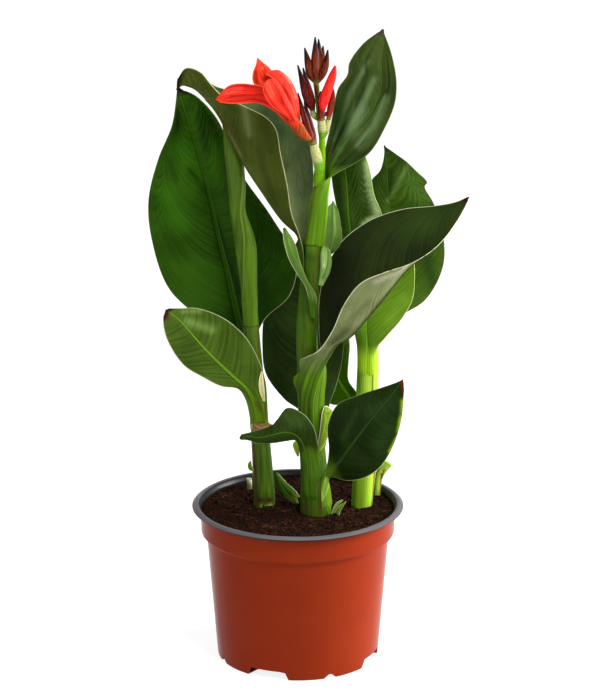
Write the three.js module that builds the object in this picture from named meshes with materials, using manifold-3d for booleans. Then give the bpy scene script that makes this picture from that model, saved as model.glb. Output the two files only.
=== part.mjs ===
// Canna lily in its nursery pot: three leafy shoots, one of them in flower, in a filled 19 cm pot.
// Millimetres, +Z up. Every shape is laid out from the pot's axis, with the viewer on the -Y side;
// the finished plant is then shifted so that the middle of its outline stands over the origin.
import * as THREE from 'three';
import { mergeVertices } from 'three/addons/utils/BufferGeometryUtils.js';
import Module from 'manifold-3d';

const wasm = await Module();
wasm.setup();

// ---------------------------------------------------------------- driving dimensions (mm)
const GAP = 0.3;                    // clearance between neighbouring pieces
const BLADE = 0.8;                  // thickness of a leaf blade
const PETAL = 0.8;                  // thickness of a petal
const SCRAP = 1.6;                  // thickness of a withered sheath at the soil
const RIB = 1.6;                    // how far a midrib stands out at the foot of its leaf
const RIPPLE_SPAN = 20;             // half widths under this carry a smaller ripple

const POT = {
  rimRadius: 95,                    // outside of the rolled rim
  height: 143,                      // top of the rim
  rimDepth: 4.4,                    // height of the roll
  collarRadius: 87.5,               // band under the rim
  collarBottom: 117,
  bodyTopRadius: 82,                // below the step of the collar
  baseRadius: 72.8,
  draft: 0.6,                       // how much the collar widens on its way up
  step: 3,                          // height of the slanted step under the collar, width of the roll
  round: 2,                         // rounding of the rolled rim
  wall: 1.4,
  lift: 1,                          // the inside of a slanted step lies this much past its outside
  discRadius: 54,                   // raised middle of the base
  discHeight: 5,
  discSlope: 2,
  sectors: 48,
};
const FOOT_PERIOD = 90;             // degrees between like notches
const NOTCH_REACH = [58, 79];       // radii between which the notches cut
const WIDE_NOTCH = { from: -38, to: -6, height: 8, slant: 3 };
const SMALL_NOTCH = { from: 18, to: 29, height: 4, slant: 4 };

const SOIL = {
  top: 136.5,
  mound: 2,                         // how much higher the middle is
  lump: 0.9,                        // height of the lumps
  lumpLengths: [30, 24, 15, 17],    // their wavelengths
  rings: 5,
  sectors: POT.sectors / 2,
};
const HOLE_DEPTH = 26;              // how far the stems stand in the soil

// Where the three shoots stand and lean: path of the stem's middle, and its radius on the way.
const STEMS = {
  left_stem: {
    path: [
      [-29.7, 8.6, SOIL.top - HOLE_DEPTH], [-29.7, 8.6, 138], [-32.7, 8.6, 194.5], [-35.7, 8.6, 236.1],
      [-41.6, 7.6, 306.5],
    ],
    radii: [9.2, 9.4, 8.1, 7.4, 7],
  },
  centre_stem: {
    path: [
      [15.9, -10.2, SOIL.top - HOLE_DEPTH], [15.9, -10.2, 138], [13.9, -12.2, 184.6], [11.9, -14.2, 225.2],
      [8.9, -17.1, 276.8], [7.9, -18.1, 309.5], [9.9, -20.1, 346.1], [12.9, -22.1, 382.8],
      [16.9, -22.1, 415.5], [18.8, -22.1, 439.3],
    ],
    radii: [13.2, 13.4, 11.2, 9.4, 9.4, 9.3, 8.5, 7.4, 5.8, 5],
  },
  right_stem: {
    path: [
      [57.5, 7.6, SOIL.top - HOLE_DEPTH], [57.5, 7.6, 138], [61.5, 7.6, 189.5], [61.5, 7.6, 237.1],
      [62.5, 7.6, 283.7],
      [60.5, 8.6, 324.3],
    ],
    radii: [9, 9.2, 10, 9.6, 9, 6.6],
  },
};

const FURLED_LEAF = {
  path: [
    [-41.6, 7.6, 307], [-42.6, 7.6, 326.3], [-43.6, 7.6, 348.1], [-45.6, 7.6, 374.9], [-47.6, 6.6, 388.8],
    [-52.5, 5.7, 409.6], [-53.5, 4.7, 434.4], [-56.5, 3.7, 463.1], [-61.4, 3.7, 482.9], [-65.4, 3.7, 491.8],
  ],
  radii: [7, 7, 7.6, 9.2, 8.6, 6.6, 7.4, 7.2, 3.6, 0.5],
};

// Leaves. Each row is one cross-section on the way from the sheath to the tip: left margin,
// midrib and right margin, and how far each half bows towards the viewer as a share of its width.
const LEAVES = {
  left_broad_leaf: {
    stem: 'left_stem', colour: 0x2c5c12, ridge: -1, wave: [0.8, 3, 0.2],
    sections: [
      [[-40.6, 10.6, 203.4], [-33.7, 17.1, 203.4], [-25.8, 11.6, 203.4], -0.25],
      [[-42.6, 11.6, 232.2], [-35.7, 17.1, 232.2], [-28.7, 12.6, 232.2], -0.25],
      [[-46.6, 14.6, 258.9], [-39.6, 19.5, 258.9], [-32.7, 15.6, 258.9], -0.2],
      [[-55.5, 21.5, 283.7], [-45.6, 22.5, 281.7], [-37.6, 18.5, 286.7], -0.06],
      [[-82.2, 23.5, 304.5], [-53.5, 25.5, 310.5], [-29.7, 17.5, 308.5], -0.03],
      [[-114, 25.5, 334.2], [-61.4, 31.4, 346.1], [-6.9, 14.6, 332.3], 0.03],
      [[-128.8, 27.5, 376.9], [-70.4, 35.4, 382.8], [-1, 17.5, 362], 0.05],
      [[-131.8, 27.5, 415.5], [-78.3, 37.4, 419.5], [-22.8, 24.5, 400.7], 0.06],
      [[-122.9, 27.5, 452.2], [-87.2, 35.4, 454.2], [-50.5, 28.4, 440.3], 0.06],
      [[-110, 25.5, 482.9], [-96.1, 30.4, 486.9], [-70.4, 27.5, 488.9], 0.05],
      [[-106, 23.5, 506.7], [-102.1, 25.5, 508.7], [-87.2, 25.5, 508.7], 0],
      [[-105, 22.5, 515.6], [-104.1, 22.5, 518.6], [-101.1, 22.5, 515.6], 0],
    ],
  },
  left_small_leaf: {
    stem: 'left_stem', half: 3, colour: 0x3a5c1e, ridge: -1, wave: [0.8, 2, 0.6],
    sections: [
      [[-41.6, 8.6, 197.5], [-32.7, -0.8, 197.5], [-23.8, 8.6, 197.5], 0.27],
      [[-42.6, 7.6, 217.3], [-34.7, -0.3, 219.3], [-26.7, 4.7, 219.3], 0.27],
      [[-46.6, 3.7, 239.1], [-39.6, -2.3, 240.1], [-27.7, 2.7, 243.1], 0.2],
      [[-53.5, -6.2, 252], [-45.6, -5.2, 252], [-28.7, 0.7, 256.9], 0.08],
      [[-67.4, -13.2, 255.9], [-58.5, -9.2, 265.9], [-33.7, -4.3, 275.8], -0.03],
      [[-83.2, -22.1, 266.9], [-73.3, -16.2, 282.7], [-45.6, -8.2, 299.6], -0.06],
      [[-100.1, -30, 280.7], [-88.2, -23.1, 301.5], [-64.4, -16.2, 319.4], -0.07],
      [[-113, -35, 302.5], [-101.1, -29, 319.4], [-87.2, -22.1, 330.3], -0.05],
      [[-116.9, -36, 316.4], [-110, -32, 328.3], [-103.1, -29, 332.3], 0],
      [[-116.9, -34, 326.3], [-115, -34, 332.3], [-112, -33, 333.3], 0],
    ],
  },
  low_curled_leaf: {
    stem: 'centre_stem', half: 3, colour: 0x2f4a24, ridge: -1, wave: [0.5, 2, 0],
    sections: [
      [[4, -18.1, 153.9], [10.9, -24.6, 153.9], [17.9, -25.1, 153.9], 0.1],
      [[3, -17.1, 175.7], [9.9, -24.1, 175.7], [17.9, -24.1, 175.7], 0.1],
      [[2, -25.1, 193.5], [8.9, -28, 193.5], [18.8, -27.1, 195.5], 0.08],
      [[1, -31, 204.4], [5, -34, 208.4], [17.9, -34, 209.4], 0.05],
      [[-2, -36, 213.3], [-1, -39.9, 219.3], [13.9, -39.9, 227.2], 0.05],
      [[-9.9, -39.9, 214.3], [-9.9, -44.9, 224.2], [5, -42.9, 240.1], 0.06],
      [[-22.8, -39.9, 212.3], [-21.8, -43.9, 221.3], [-8.9, -43.9, 246], 0.06],
      [[-34.7, -37, 211.3], [-34.7, -39.9, 217.3], [-20.8, -40.9, 230.2], 0.04],
      [[-44.6, -35, 213.3], [-44.6, -36, 217.3], [-38.6, -37, 222.2], 0],
      [[-50.5, -34, 213.3], [-51.5, -34, 215.3], [-49.5, -34, 218.3], 0],
    ],
  },
  low_right_leaf: {
    stem: 'centre_stem', colour: 0x1f4a12, ridge: -1, wave: [0.6, 2, 0.3],
    sections: [
      [[21.8, -24.1, 142], [28.8, -18.1, 142], [30.7, -8.2, 142], 0.12],
      [[20.8, -24.1, 157.8], [27.3, -19.1, 157.8], [28.8, -9.2, 157.8], 0.12],
      [[20.8, -24.1, 171.7], [25.8, -23.1, 171.7], [27.3, -16.2, 169.7], 0.1],
      [[25.8, -28, 186.6], [28.8, -28, 181.6], [31.7, -26.1, 175.7], 0.05],
      [[27.8, -34, 205.4], [37.7, -36, 194.5], [44.6, -36, 175.7], 0.06],
      [[26.8, -41.9, 230.2], [47.6, -44.9, 212.3], [60.5, -45.9, 182.6], 0.07],
      [[34.7, -47.9, 250], [59.5, -51.8, 231.2], [73.4, -52.8, 195.5], 0.07],
      [[52.5, -54.8, 260.9], [71.4, -57.8, 249], [84.3, -59.8, 218.3], 0.06],
      [[75.3, -60.8, 270.8], [83.3, -62.7, 265.9], [90.2, -64.7, 242.1], 0.03],
      [[89.2, -63.7, 276.8], [91.2, -64.7, 278.7], [92.2, -65.7, 269.8], 0],
    ],
  },
  boat_leaf: {
    stem: 'centre_stem', colour: 0x2a3a18, ridge: 1, wave: [0.7, 3, 0.1],
    sections: [
      [[2, -12.2, 191.5], [13.9, -24.1, 191.5], [24.8, -13.2, 191.5], 0.25],
      [[1, -14.2, 222.2], [12.9, -26.1, 222.2], [23.8, -16.2, 222.2], 0.25],
      [[0, -18.1, 250], [12.9, -28, 248], [23.8, -18.1, 250], 0.22],
      [[-3.9, -26.1, 267.3], [15.9, -30.5, 263.9], [24.8, -19.6, 265.9], 0.16],
      [[2, -29.5, 275.3], [18.8, -31.5, 273.8], [24.3, -20.1, 276.3], 0.12],
      [[2, -31.5, 285.7], [22.8, -33, 282.7], [22.3, -21.1, 286.2], 0.08],
      [[8.9, -36, 291.1], [27.8, -34.7, 292.1], [19.8, -21.6, 299.6], 0.05],
      [[17.9, -41.9, 297.6], [33.7, -37, 302.5], [18.8, -17.1, 315.4], 0.03],
      [[29.8, -51.8, 317.4], [44.6, -39.9, 309.5], [18.8, -12.2, 337.2], 0.03],
      [[40.7, -58.8, 345.2], [59.5, -43.9, 327.3], [23.8, -9.2, 360], 0.03],
      [[54.5, -62.7, 365], [76.3, -48.9, 350.1], [36.7, -7.2, 384.8], 0.03],
      [[74.4, -64.7, 374.9], [93.2, -52.8, 372.9], [61.5, -10.2, 405.6], 0.03],
      [[98.1, -64.7, 382.8], [108.1, -56.8, 388.8], [90.2, -19.1, 418.5], 0.03],
      [[119, -63.7, 396.7], [123.9, -59.8, 407.6], [116, -34, 425.4], 0.02],
      [[136.8, -62.7, 420.5], [137.8, -61.7, 426.4], [134.8, -51.8, 433.4], 0],
      [[144.7, -62.7, 437.3], [145.7, -61.7, 440.3], [144.7, -59.8, 439.3], 0],
    ],
  },
  small_clasping_leaf: {
    stem: 'centre_stem', half: 3, colour: 0x2c4a1c, ridge: 1, wave: [0, 1, 0],
    sections: [
      [[10.9, -29, 326.3], [13.9, -29.5, 324.3], [16.9, -29, 322.4], 0.05],
      [[7, -30, 351.1], [11.9, -30, 348.1], [15.9, -29.5, 344.2], 0.06],
      [[-1, -32, 365], [5, -31.5, 362], [8.9, -31, 358], 0],
      [[-7.9, -35, 378.9], [-2, -34, 375.9], [2, -31, 374.9], -0.05],
      [[-11.9, -35, 393.7], [-7.9, -34, 389.8], [-1, -31, 387.8], -0.05],
      [[-12.9, -34, 401.6], [-9.9, -34, 399.7], [-4.9, -32, 396.7], 0],
      [[-12.9, -34, 404.6], [-11.9, -34, 406.6], [-9.9, -34, 404.6], 0],
    ],
  },
  arching_leaf: {
    stem: 'centre_stem', colour: 0x44501e, ridge: 1, wave: [0.6, 2, 0.5],
    sections: [
      [[6, -13.2, 362], [2, -20.1, 360], [5, -28, 362], 0.2],
      [[7.9, -12.2, 383.8], [3, -20.1, 381.8], [5, -28, 381.8], 0.15],
      [[9.9, -8.2, 397.7], [1, -18.1, 395.7], [2, -27.1, 396.7], 0.1],
      [[12.9, 1.7, 417.5], [-12.9, -14.2, 408.6], [-4.9, -26.1, 416.5], 0.06],
      [[13.9, 11.6, 444.3], [-30.7, -10.2, 433.4], [-8.9, -25.1, 441.3], 0.06],
      [[10.9, 15.6, 468.1], [-44.6, -7.2, 454.2], [-14.8, -22.1, 468.1], 0.06],
      [[4, 15.6, 482.9], [-56.5, -6.2, 476], [-18.8, -21.1, 489.9], 0.06],
      [[-10.9, 13.6, 498.8], [-66.4, -6.2, 495.8], [-26.7, -20.1, 499.8], 0.06],
      [[-34.7, 9.6, 510.7], [-73.3, -7.2, 506.7], [-44.6, -20.1, 509.7], 0.06],
      [[-56.5, 3.7, 518.6], [-80.3, -8.2, 514.6], [-64.4, -20.1, 519.6], 0.06],
      [[-68.4, -1.3, 522.6], [-88.2, -10.2, 522.6], [-74.3, -20.1, 529.5], 0.08],
      [[-82.2, -6.2, 530.5], [-94.1, -12.2, 525.5], [-83.2, -19.1, 539.4], 0.1],
      [[-94.1, -10.2, 532.5], [-100.1, -14.2, 526.5], [-95.1, -17.1, 542.4], 0.08],
      [[-102.1, -13.2, 528.5], [-104.1, -14.2, 522.6], [-103.1, -15.2, 532.5], 0],
    ],
  },
  top_leaf: {
    stem: 'centre_stem', colour: 0x4a6244, ridge: -1, wave: [1, 3, 0.2],
    sections: [
      [[9.9, -14.2, 387.8], [20.8, -25.1, 387.8], [5.5, -22.1, 387.8], -0.36],
      [[14.4, -15.7, 415.5], [23.8, -24.6, 415.5], [9.9, -22.1, 415.5], -0.36],
      [[16.4, -16.2, 433.4], [24.8, -24.1, 433.4], [11.9, -24.6, 433.4], -0.3],
      [[19.8, -15.2, 445.3], [26.3, -23.1, 445.3], [19.8, -30, 443.3], -0.2],
      [[22.8, -15.2, 457.2], [27.8, -22.1, 454.2], [30.7, -28, 451.2], -0.05],
      [[23.8, -16.2, 471], [34.7, -20.1, 468.1], [47.6, -22.1, 459.1], 0.03],
      [[28.8, -16.2, 494.8], [46.6, -18.1, 484.9], [62.5, -21.1, 470], 0.04],
      [[31.7, -14.2, 511.7], [59.5, -14.2, 497.8], [75.3, -18.1, 490.9], 0.05],
      [[34.7, -10.2, 523.6], [67.4, -10.2, 510.7], [83.3, -14.2, 510.7], 0.05],
      [[42.6, -6.2, 534.5], [72.4, -5.2, 526.5], [84.8, -10.2, 528.5], 0.05],
      [[44.6, -2.3, 544.4], [72.4, -0.3, 544.4], [82.3, -5.2, 546.4], 0.05],
      [[56.5, 2.7, 560.2], [74.4, 4.7, 560.2], [78.3, 1.7, 559.2], 0.03],
      [[70.4, 6.6, 570.1], [73.4, 7.6, 572.1], [74.4, 6.6, 567.2], 0],
    ],
  },
  rear_dark_leaf: {
    stem: 'centre_stem', colour: 0x16280f, ridge: -1, wave: [0.7, 3, 0.4],
    sections: [
      [[4, -7.2, 193.5], [13.9, -1.8, 193.5], [23.8, -7.2, 193.5], -0.22],
      [[3, -6.2, 213.3], [12.9, -2.8, 213.3], [26.8, -9.2, 213.3], -0.15],
      [[3, -0.3, 227.2], [13.9, 1.7, 233.2], [27.8, -2.3, 233.2], -0.06],
      [[-11.9, 15.6, 235.1], [12.9, 13.6, 254], [34.7, 13.6, 249], 0.03],
      [[-28.7, 25.5, 255.9], [10.9, 21.5, 279.7], [39.7, 20.5, 269.8], 0.04],
      [[-31.7, 30.4, 281.7], [8.9, 26.5, 307.5], [41.6, 25.5, 294.6], 0.04],
      [[-28.7, 33.4, 317.4], [7, 29.4, 336.2], [37.7, 28.4, 327.3], 0.04],
      [[-17.8, 34.4, 348.1], [7, 31.4, 360], [28.8, 31.4, 352.1], 0.04],
      [[-2, 33.4, 373.9], [7, 32.4, 379.8], [15.9, 32.4, 370.9], 0.02],
      [[5, 32.4, 391.7], [7, 32.4, 394.7], [8.9, 32.4, 391.7], 0],
    ],
  },
  bright_leaf: {
    stem: 'right_stem', half: 3, colour: 0x4e8f1a, ridge: -1, wave: [0.7, 2, 0.2],
    sections: [
      [[53.5, 2.7, 261.9], [61.5, -2.8, 261.9], [70.4, 2.7, 261.9], 0.2],
      [[52.5, -0.3, 289.6], [61.5, -3.3, 287.7], [70.4, -1.3, 287.7], 0.15],
      [[47.6, -12.2, 315.4], [60.5, -7.2, 310.5], [77.3, -5.2, 298.6], 0.05],
      [[46.6, -14.2, 333.3], [62.5, -6.2, 330.3], [92.2, -4.3, 316.4], -0.04],
      [[51.6, -13.2, 351.1], [68.4, -4.3, 348.1], [101.1, -2.3, 332.3], -0.06],
      [[60.5, -10.2, 368.9], [77.3, -1.3, 367], [103.1, -0.3, 349.1], -0.06],
      [[72.4, -5.2, 383.8], [86.2, 2.7, 381.8], [102.1, 1.7, 366], -0.05],
      [[84.3, 0.7, 393.7], [91.2, 5.7, 392.7], [98.1, 4.7, 381.8], 0],
      [[94.2, 6.6, 398.7], [95.2, 6.6, 400.7], [97.2, 6.6, 397.7], 0],
    ],
  },
  rear_right_leaf: {
    stem: 'right_stem', colour: 0x2c5a10, ridge: -1, wave: [1.2, 2, 0.1],
    sections: [
      [[54.5, 14.6, 262.9], [62.5, 17.5, 262.9], [70.4, 14.6, 262.9], -0.2],
      [[55.5, 15.6, 290.6], [63.5, 18.5, 290.6], [70.4, 15.6, 290.6], -0.15],
      [[57.5, 25.5, 314.4], [67.4, 23.5, 313.4], [89.2, 26.5, 307.5], -0.05],
      [[55.5, 35.4, 345.2], [76.3, 31.4, 341.2], [114, 31.4, 323.3], 0.05],
      [[57.5, 40.3, 375.9], [82.3, 37.4, 371.9], [128.9, 33.4, 352.1], 0.06],
      [[60.5, 43.3, 400.7], [82.3, 39.4, 401.6], [129.9, 35.4, 376.9], 0.06],
      [[63.5, 43.3, 418.5], [80.3, 39.4, 417.5], [120.9, 34.4, 409.6], 0.06],
      [[64.9, 42.3, 426.4], [79.8, 38.9, 426.4], [112, 33.9, 425.9], 0.05],
      [[65.9, 41.8, 430.9], [79.3, 38.4, 432.4], [114, 33.4, 429.9], 0.05],
      [[72.4, 40.3, 438.3], [78.8, 37.4, 441.3], [104.6, 33.4, 440.3], 0.04],
      [[75.3, 38.4, 447.2], [78.3, 36.4, 451.2], [95.2, 33.9, 449.7], 0.03],
      [[76.3, 35.4, 457.2], [77.3, 34.9, 458.1], [85.3, 34.4, 456.5], 0.01],
      [[75.8, 34.4, 462.1], [76.3, 34.4, 463.4], [77.8, 34.4, 461.6], 0],
    ],
  },
  pleated_leaf: {
    stem: 'right_stem', half: 3, colour: 0x24461a, ridge: -1, wave: [1.5, 4, 0.3],
    sections: [
      [[54.5, 0.7, 302.5], [53, 8.6, 302.5], [56.5, 15.6, 302.5], -0.1],
      [[51.6, 2.7, 324.3], [52.5, 9.6, 324.3], [58.5, 15.6, 324.3], -0.1],
      [[45.6, 8.6, 346.1], [50.6, 11.6, 346.1], [59.5, 14.6, 346.1], -0.05],
      [[41.6, 13.6, 366], [49.6, 12.6, 368.9], [61.5, 11.6, 367], 0.03],
      [[37.7, 14.6, 384.8], [46.6, 12.6, 390.7], [68.4, 9.6, 383.8], 0.05],
      [[34.7, 15.6, 409.6], [44.6, 12.6, 408.6], [73.4, 7.6, 406.6], 0.05],
      [[30.7, 16.6, 429.4], [43.6, 13.6, 428.4], [67.4, 6.6, 424.4], 0.05],
      [[28.8, 17.5, 449.2], [41.6, 15.6, 447.2], [63.5, 8.6, 445.3], 0.05],
      [[27.8, 19.5, 470], [39.7, 18.5, 467.1], [56.5, 13.6, 464.1], 0.04],
      [[33.7, 20.5, 486.9], [39.7, 20.5, 486.9], [47.6, 17.5, 482.9], 0.02],
      [[39.7, 21.5, 495.8], [40.7, 21.5, 498.8], [42.6, 20.5, 495.8], 0],
    ],
  },
  rear_inner_leaf: {
    stem: 'right_stem', half: 3, colour: 0x33611a, ridge: -1, wave: [0.5, 2, 0],
    sections: [
      [[52.5, 1.7, 203.4], [51.1, 9.6, 203.4], [54.5, 16.6, 203.4], -0.2],
      [[49.6, 4.7, 221.3], [50.6, 11.6, 221.3], [54.5, 17.5, 221.3], -0.15],
      [[42.6, 18.5, 228.2], [46.6, 19.5, 235.1], [53.5, 20, 238.1], -0.04],
      [[30.7, 24.5, 227.2], [39.7, 23.5, 245], [45.6, 24.5, 250], 0.04],
      [[19.8, 29.4, 233.2], [32.7, 27.5, 257.9], [45.6, 28.4, 265.9], 0.05],
      [[13.9, 34.4, 249], [25.8, 32.4, 275.8], [46.6, 32.4, 281.7], 0.05],
      [[10.9, 37.4, 274.8], [20.8, 36.4, 298.6], [42.6, 35.4, 301.5], 0.05],
      [[11.9, 39.4, 301.5], [17.9, 39.4, 316.4], [31.7, 38.4, 319.4], 0.03],
      [[15.9, 41.3, 326.3], [16.9, 41.3, 329.3], [19.8, 40.3, 326.3], 0],
    ],
  },
  small_pale_leaf: {
    stem: 'centre_stem', half: 3, colour: 0x6d9a50, ridge: 1, wave: [0, 1, 0],
    sections: [
      [[20.3, -19.1, 367.9], [17.9, -14.7, 367.9], [13.4, -12.7, 367.9], 0.05],
      [[22.8, -17.1, 381.8], [25.8, -13.2, 380.8], [28.8, -9.2, 378.9], 0.05],
      [[24.8, -16.2, 393.7], [30.7, -13.2, 393.7], [36.7, -10.2, 388.8], -0.05],
      [[24.8, -14.2, 407.6], [30.7, -11.2, 407.6], [35.7, -9.2, 401.6], -0.05],
      [[26.8, -12.2, 418.5], [30.7, -10.2, 418.5], [33.7, -9.2, 413.5], 0],
      [[29.8, -10.2, 422.5], [30.7, -10.2, 424.4], [31.7, -10.2, 422.5], 0],
    ],
  },
};

// A sheath scrap of a young shoot that has just broken the soil.
const SPROUT = {
  foot: { path: [[-3.9, 11.6, 122.1], [-3.9, 11.6, 140], [-6.9, 12.6, 143.9]], radii: [4, 4.2, 2.5] },
  ridge: 1, wave: [0, 1, 0],
  sections: [
    [[-10.9, 12.6, 142.5], [-4.9, 10.6, 142.5], [2, 13.6, 142.5], 0.2],
    [[-16.8, 14.6, 147.9], [-10.9, 11.6, 147.9], [-2, 15.6, 147.9], 0.15],
    [[-20.8, 16.6, 154.8], [-15.8, 14.6, 155.8], [-9.9, 17.5, 154.8], 0.1],
    [[-22.8, 17.5, 161.8], [-19.8, 17.5, 165.8], [-16.8, 18.5, 162.8], 0],
  ],
};
const SMALL_SHOOTS = {
  axillary_bud: {
    path: [[19.8, -23.1, 352.1], [24.3, -24.1, 367.9], [25.8, -24.1, 380.8], [24.8, -24.1, 391.7]],
    radii: [2.5, 4.6, 3.6, 0.5],
  },
  cut_stub: {
    path: [[71.5, 38, 122], [71.5, 38, 139], [74, 39, 155], [82, 40, 167]], radii: [3.3, 3.6, 3.8, 4.4],
  },
  short_stub: { path: [[-44.5, 54, 122], [-44.5, 54, 139], [-44.8, 53, 147]], radii: [2.2, 2.4, 2.2] },
  sprig: {
    path: [[35.7, -19.1, 124.1], [35.7, -19.1, 138], [38.7, -21.1, 145.9], [42.6, -22.1, 150.9]],
    radii: [1.6, 1.7, 1.5, 0.6],
  },
};

// ---------------------------------------------------------------- flower
const STALK = {
  rachis: {
    path: [
      [18.9, -22.1, 440.5], [18.8, -22.1, 452.2], [20.8, -22.1, 467.1], [20.8, -21.1, 482.9],
      [18.8, -21.1, 500.8], [16.9, -21.1, 518.6], [15.9, -21.1, 530.5],
    ],
    radii: [5, 4.8, 3.2, 2.6, 2.4, 2.2, 2.6],
  },
  ovaries: [
    {
      path: [[18.8, -23.1, 451.2], [17.4, -26.1, 462.1], [14.9, -30, 473], [13.4, -31, 479]],
      radii: [4, 4.4, 4.2, 3.2],
    },
    { path: [[20.8, -22.1, 482.9], [20.8, -23.1, 490.9], [20.3, -24.1, 498.8]], radii: [2.6, 4, 3.4] },
    { path: [[21.8, -21.1, 482.9], [24.8, -22.1, 490.9], [26.3, -23.1, 498.8]], radii: [2, 2.6, 2.2] },
    { path: [[17.9, -21.1, 498.8], [13.9, -22.1, 502.7], [12.4, -22.1, 506.7]], radii: [2, 2.6, 2.2] },
  ],
};
const TOP_BUDS = [
  {
    path: [[15.9, -21.1, 531.5], [14.9, -23.1, 540.4], [14.9, -24.1, 552.3], [14.9, -26.1, 571.1]],
    radii: [2, 3.3, 3.4, 0.4],
  },
  {
    path: [[16.9, -20.1, 531.5], [17.9, -20.1, 540.4], [18.4, -20.1, 551.3], [17.9, -20.1, 568.2]],
    radii: [2, 3.3, 3.3, 0.4],
  },
  {
    path: [[14.9, -21.1, 531.5], [10.9, -23.1, 538.4], [8.9, -25.1, 548.3], [6, -28, 562.2]],
    radii: [2, 3.4, 3, 0.4],
  },
  {
    path: [[16.9, -21.1, 531.5], [20.8, -21.1, 538.4], [23.8, -21.1, 546.4], [25.8, -22.1, 559.2]],
    radii: [2, 3.2, 2.8, 0.4],
  },
  {
    path: [[16.9, -20.1, 531.5], [19.3, -17.1, 539.4], [20.8, -15.2, 548.3], [21.8, -14.2, 561.2]],
    radii: [2, 3, 2.7, 0.4],
  },
];
const SIDE_BUDS = [
  {
    path: [[12.4, -22.1, 507.2], [8.9, -27.1, 516.6], [6, -30, 526.5], [0, -33, 548.3]],
    radii: [2, 3.3, 3.4, 0.4],
  },
  {
    path: [[12.9, -22.1, 507.2], [11.4, -26.1, 516.6], [8.9, -28, 526.5], [4.5, -30, 545.4]],
    radii: [2, 3.2, 3, 0.4],
  },
];
const BLOOM_SEPALS = [
  {
    path: [[12.9, -31, 479.5], [8.9, -34, 490.9], [5, -35, 504.7], [0, -35, 524.6]],
    radii: [2.6, 3.2, 2.6, 0.4],
  },
  {
    path: [[13.9, -30.5, 479.5], [11.9, -29, 488.9], [8.4, -29.5, 502.7], [5.5, -30, 516.6]],
    radii: [2.6, 3, 2.4, 0.4],
  },
];
const OPENING_BUD = {
  sepals: [
    {
      path: [[20.3, -24.1, 499.3], [19.8, -26.1, 506.7], [18.8, -27.1, 516.6], [19.8, -28, 524.6]],
      radii: [2.8, 2.8, 2, 0.4],
    },
    {
      path: [[26.3, -23.1, 499.3], [27.8, -23.1, 508.7], [29.8, -24.1, 518.6], [29.8, -25.1, 528.5]],
      radii: [2, 2.6, 2.2, 0.4],
    },
  ],
  bridge: {
    path: [[19.3, -25.1, 502.7], [23.8, -23.6, 503.7], [27.3, -23.1, 504.7]],
    radii: [1.8, 1.8, 1.8],
  },
  petal: {
    path: [[20.8, -28, 507.7], [22, -30, 516.6], [26, -30.5, 528.5], [30.2, -31, 540.4], [32.1, -31, 547.3]],
    radii: [2.4, 4.2, 3.9, 2.8, 0.7],
  },
};

// Petals of the open bloom: left margin, midline, right margin and bow, from the throat outwards.
const PETALS = [
  [ // long lip reaching to the left
    [[1, -35, 498.8], [1, -37, 494.8], [2, -35, 489.9], 0.1],
    [[-7.9, -39.9, 513.6], [-6.9, -39.9, 506.7], [-6.9, -37, 496.8], 0.2],
    [[-17.8, -42.9, 526.5], [-17.8, -40.9, 518.6], [-19.8, -36, 508.7], 0.2],
    [[-30.7, -44.9, 532.5], [-31.7, -41.9, 524.6], [-31.7, -36, 515.6], 0.2],
    [[-45.6, -44.9, 534.5], [-48.5, -41.9, 525.5], [-47.6, -37, 515.6], 0.18],
    [[-58.5, -43.9, 532.5], [-61.4, -40.9, 523.6], [-61.4, -38.9, 516.6], 0.1],
    [[-66.4, -40.9, 524.6], [-69.4, -40.9, 520.6], [-66.4, -39.9, 517.6], 0],
  ],
  [ // upright pointed petal at the back
    [[-1, -34, 498.8], [0.5, -33.5, 496.8], [2, -33, 494.8], 0.1],
    [[-10.9, -33, 515.6], [-6.9, -31, 514.6], [-3, -29, 513.6], 0.15],
    [[-27.7, -33, 524.6], [-18.8, -30, 528.5], [-9.9, -28, 526.5], 0.15],
    [[-37.6, -31, 532.5], [-27.7, -29, 537.4], [-18.8, -27.1, 536.4], 0.15],
    [[-38.1, -30, 541.4], [-30.7, -28.5, 545.4], [-22.8, -27.1, 542.9], 0.1],
    [[-35.7, -29, 547.3], [-31.7, -28, 549.3], [-27.7, -27.1, 547.8], 0.05],
    [[-34.7, -28, 552.3], [-34.2, -28, 553.8], [-33.2, -28, 552.3], 0],
  ],
  [ // pale petal in the middle
    [[-2, -38.9, 495.8], [0, -38, 493.8], [2, -37, 491.8], 0.1],
    [[-10.9, -46.9, 507.7], [-6.9, -45.9, 507.7], [-2, -42.9, 505.7], 0.15],
    [[-22.8, -51.8, 517.6], [-15.8, -49.9, 520.6], [-8.9, -46.9, 521.6], 0.15],
    [[-29.2, -52.8, 529.5], [-22.8, -51.8, 535.5], [-15.8, -49.9, 535.5], 0.1],
    [[-27.7, -52.8, 537.4], [-24.3, -52.8, 540.4], [-20.8, -51.8, 539.9], 0],
  ],
  [ // arching petal on the right
    [[0, -37, 495.8], [2, -35, 493.8], [3.5, -33, 495.8], 0.1],
    [[-4.4, -41.9, 510.7], [-1, -38.9, 510.7], [1, -34, 511.7], 0.2],
    [[-10.4, -42.9, 523.6], [-3.9, -39.9, 524.6], [-1, -34, 523.6], 0.22],
    [[-16.8, -41.9, 533.5], [-11.4, -38, 536.4], [-6.9, -33, 536.4], 0.2],
    [[-21.8, -38.9, 538.4], [-18.8, -35, 542.4], [-14.8, -32, 542.9], 0.1],
    [[-26.7, -35, 540.4], [-26.7, -34, 542.4], [-24.8, -33, 543.4], 0],
  ],
];
const THROAT = {
  path: [[10.9, -35, 483.9], [5, -37, 488.9], [0, -38, 495.8], [-5.9, -39.9, 504.7]],
  radii: [1.8, 4.2, 5, 3.5],
};

// ---------------------------------------------------------------- solids and sections
const vec = (p) => new THREE.Vector3(p[0], p[1], p[2]);

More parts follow.
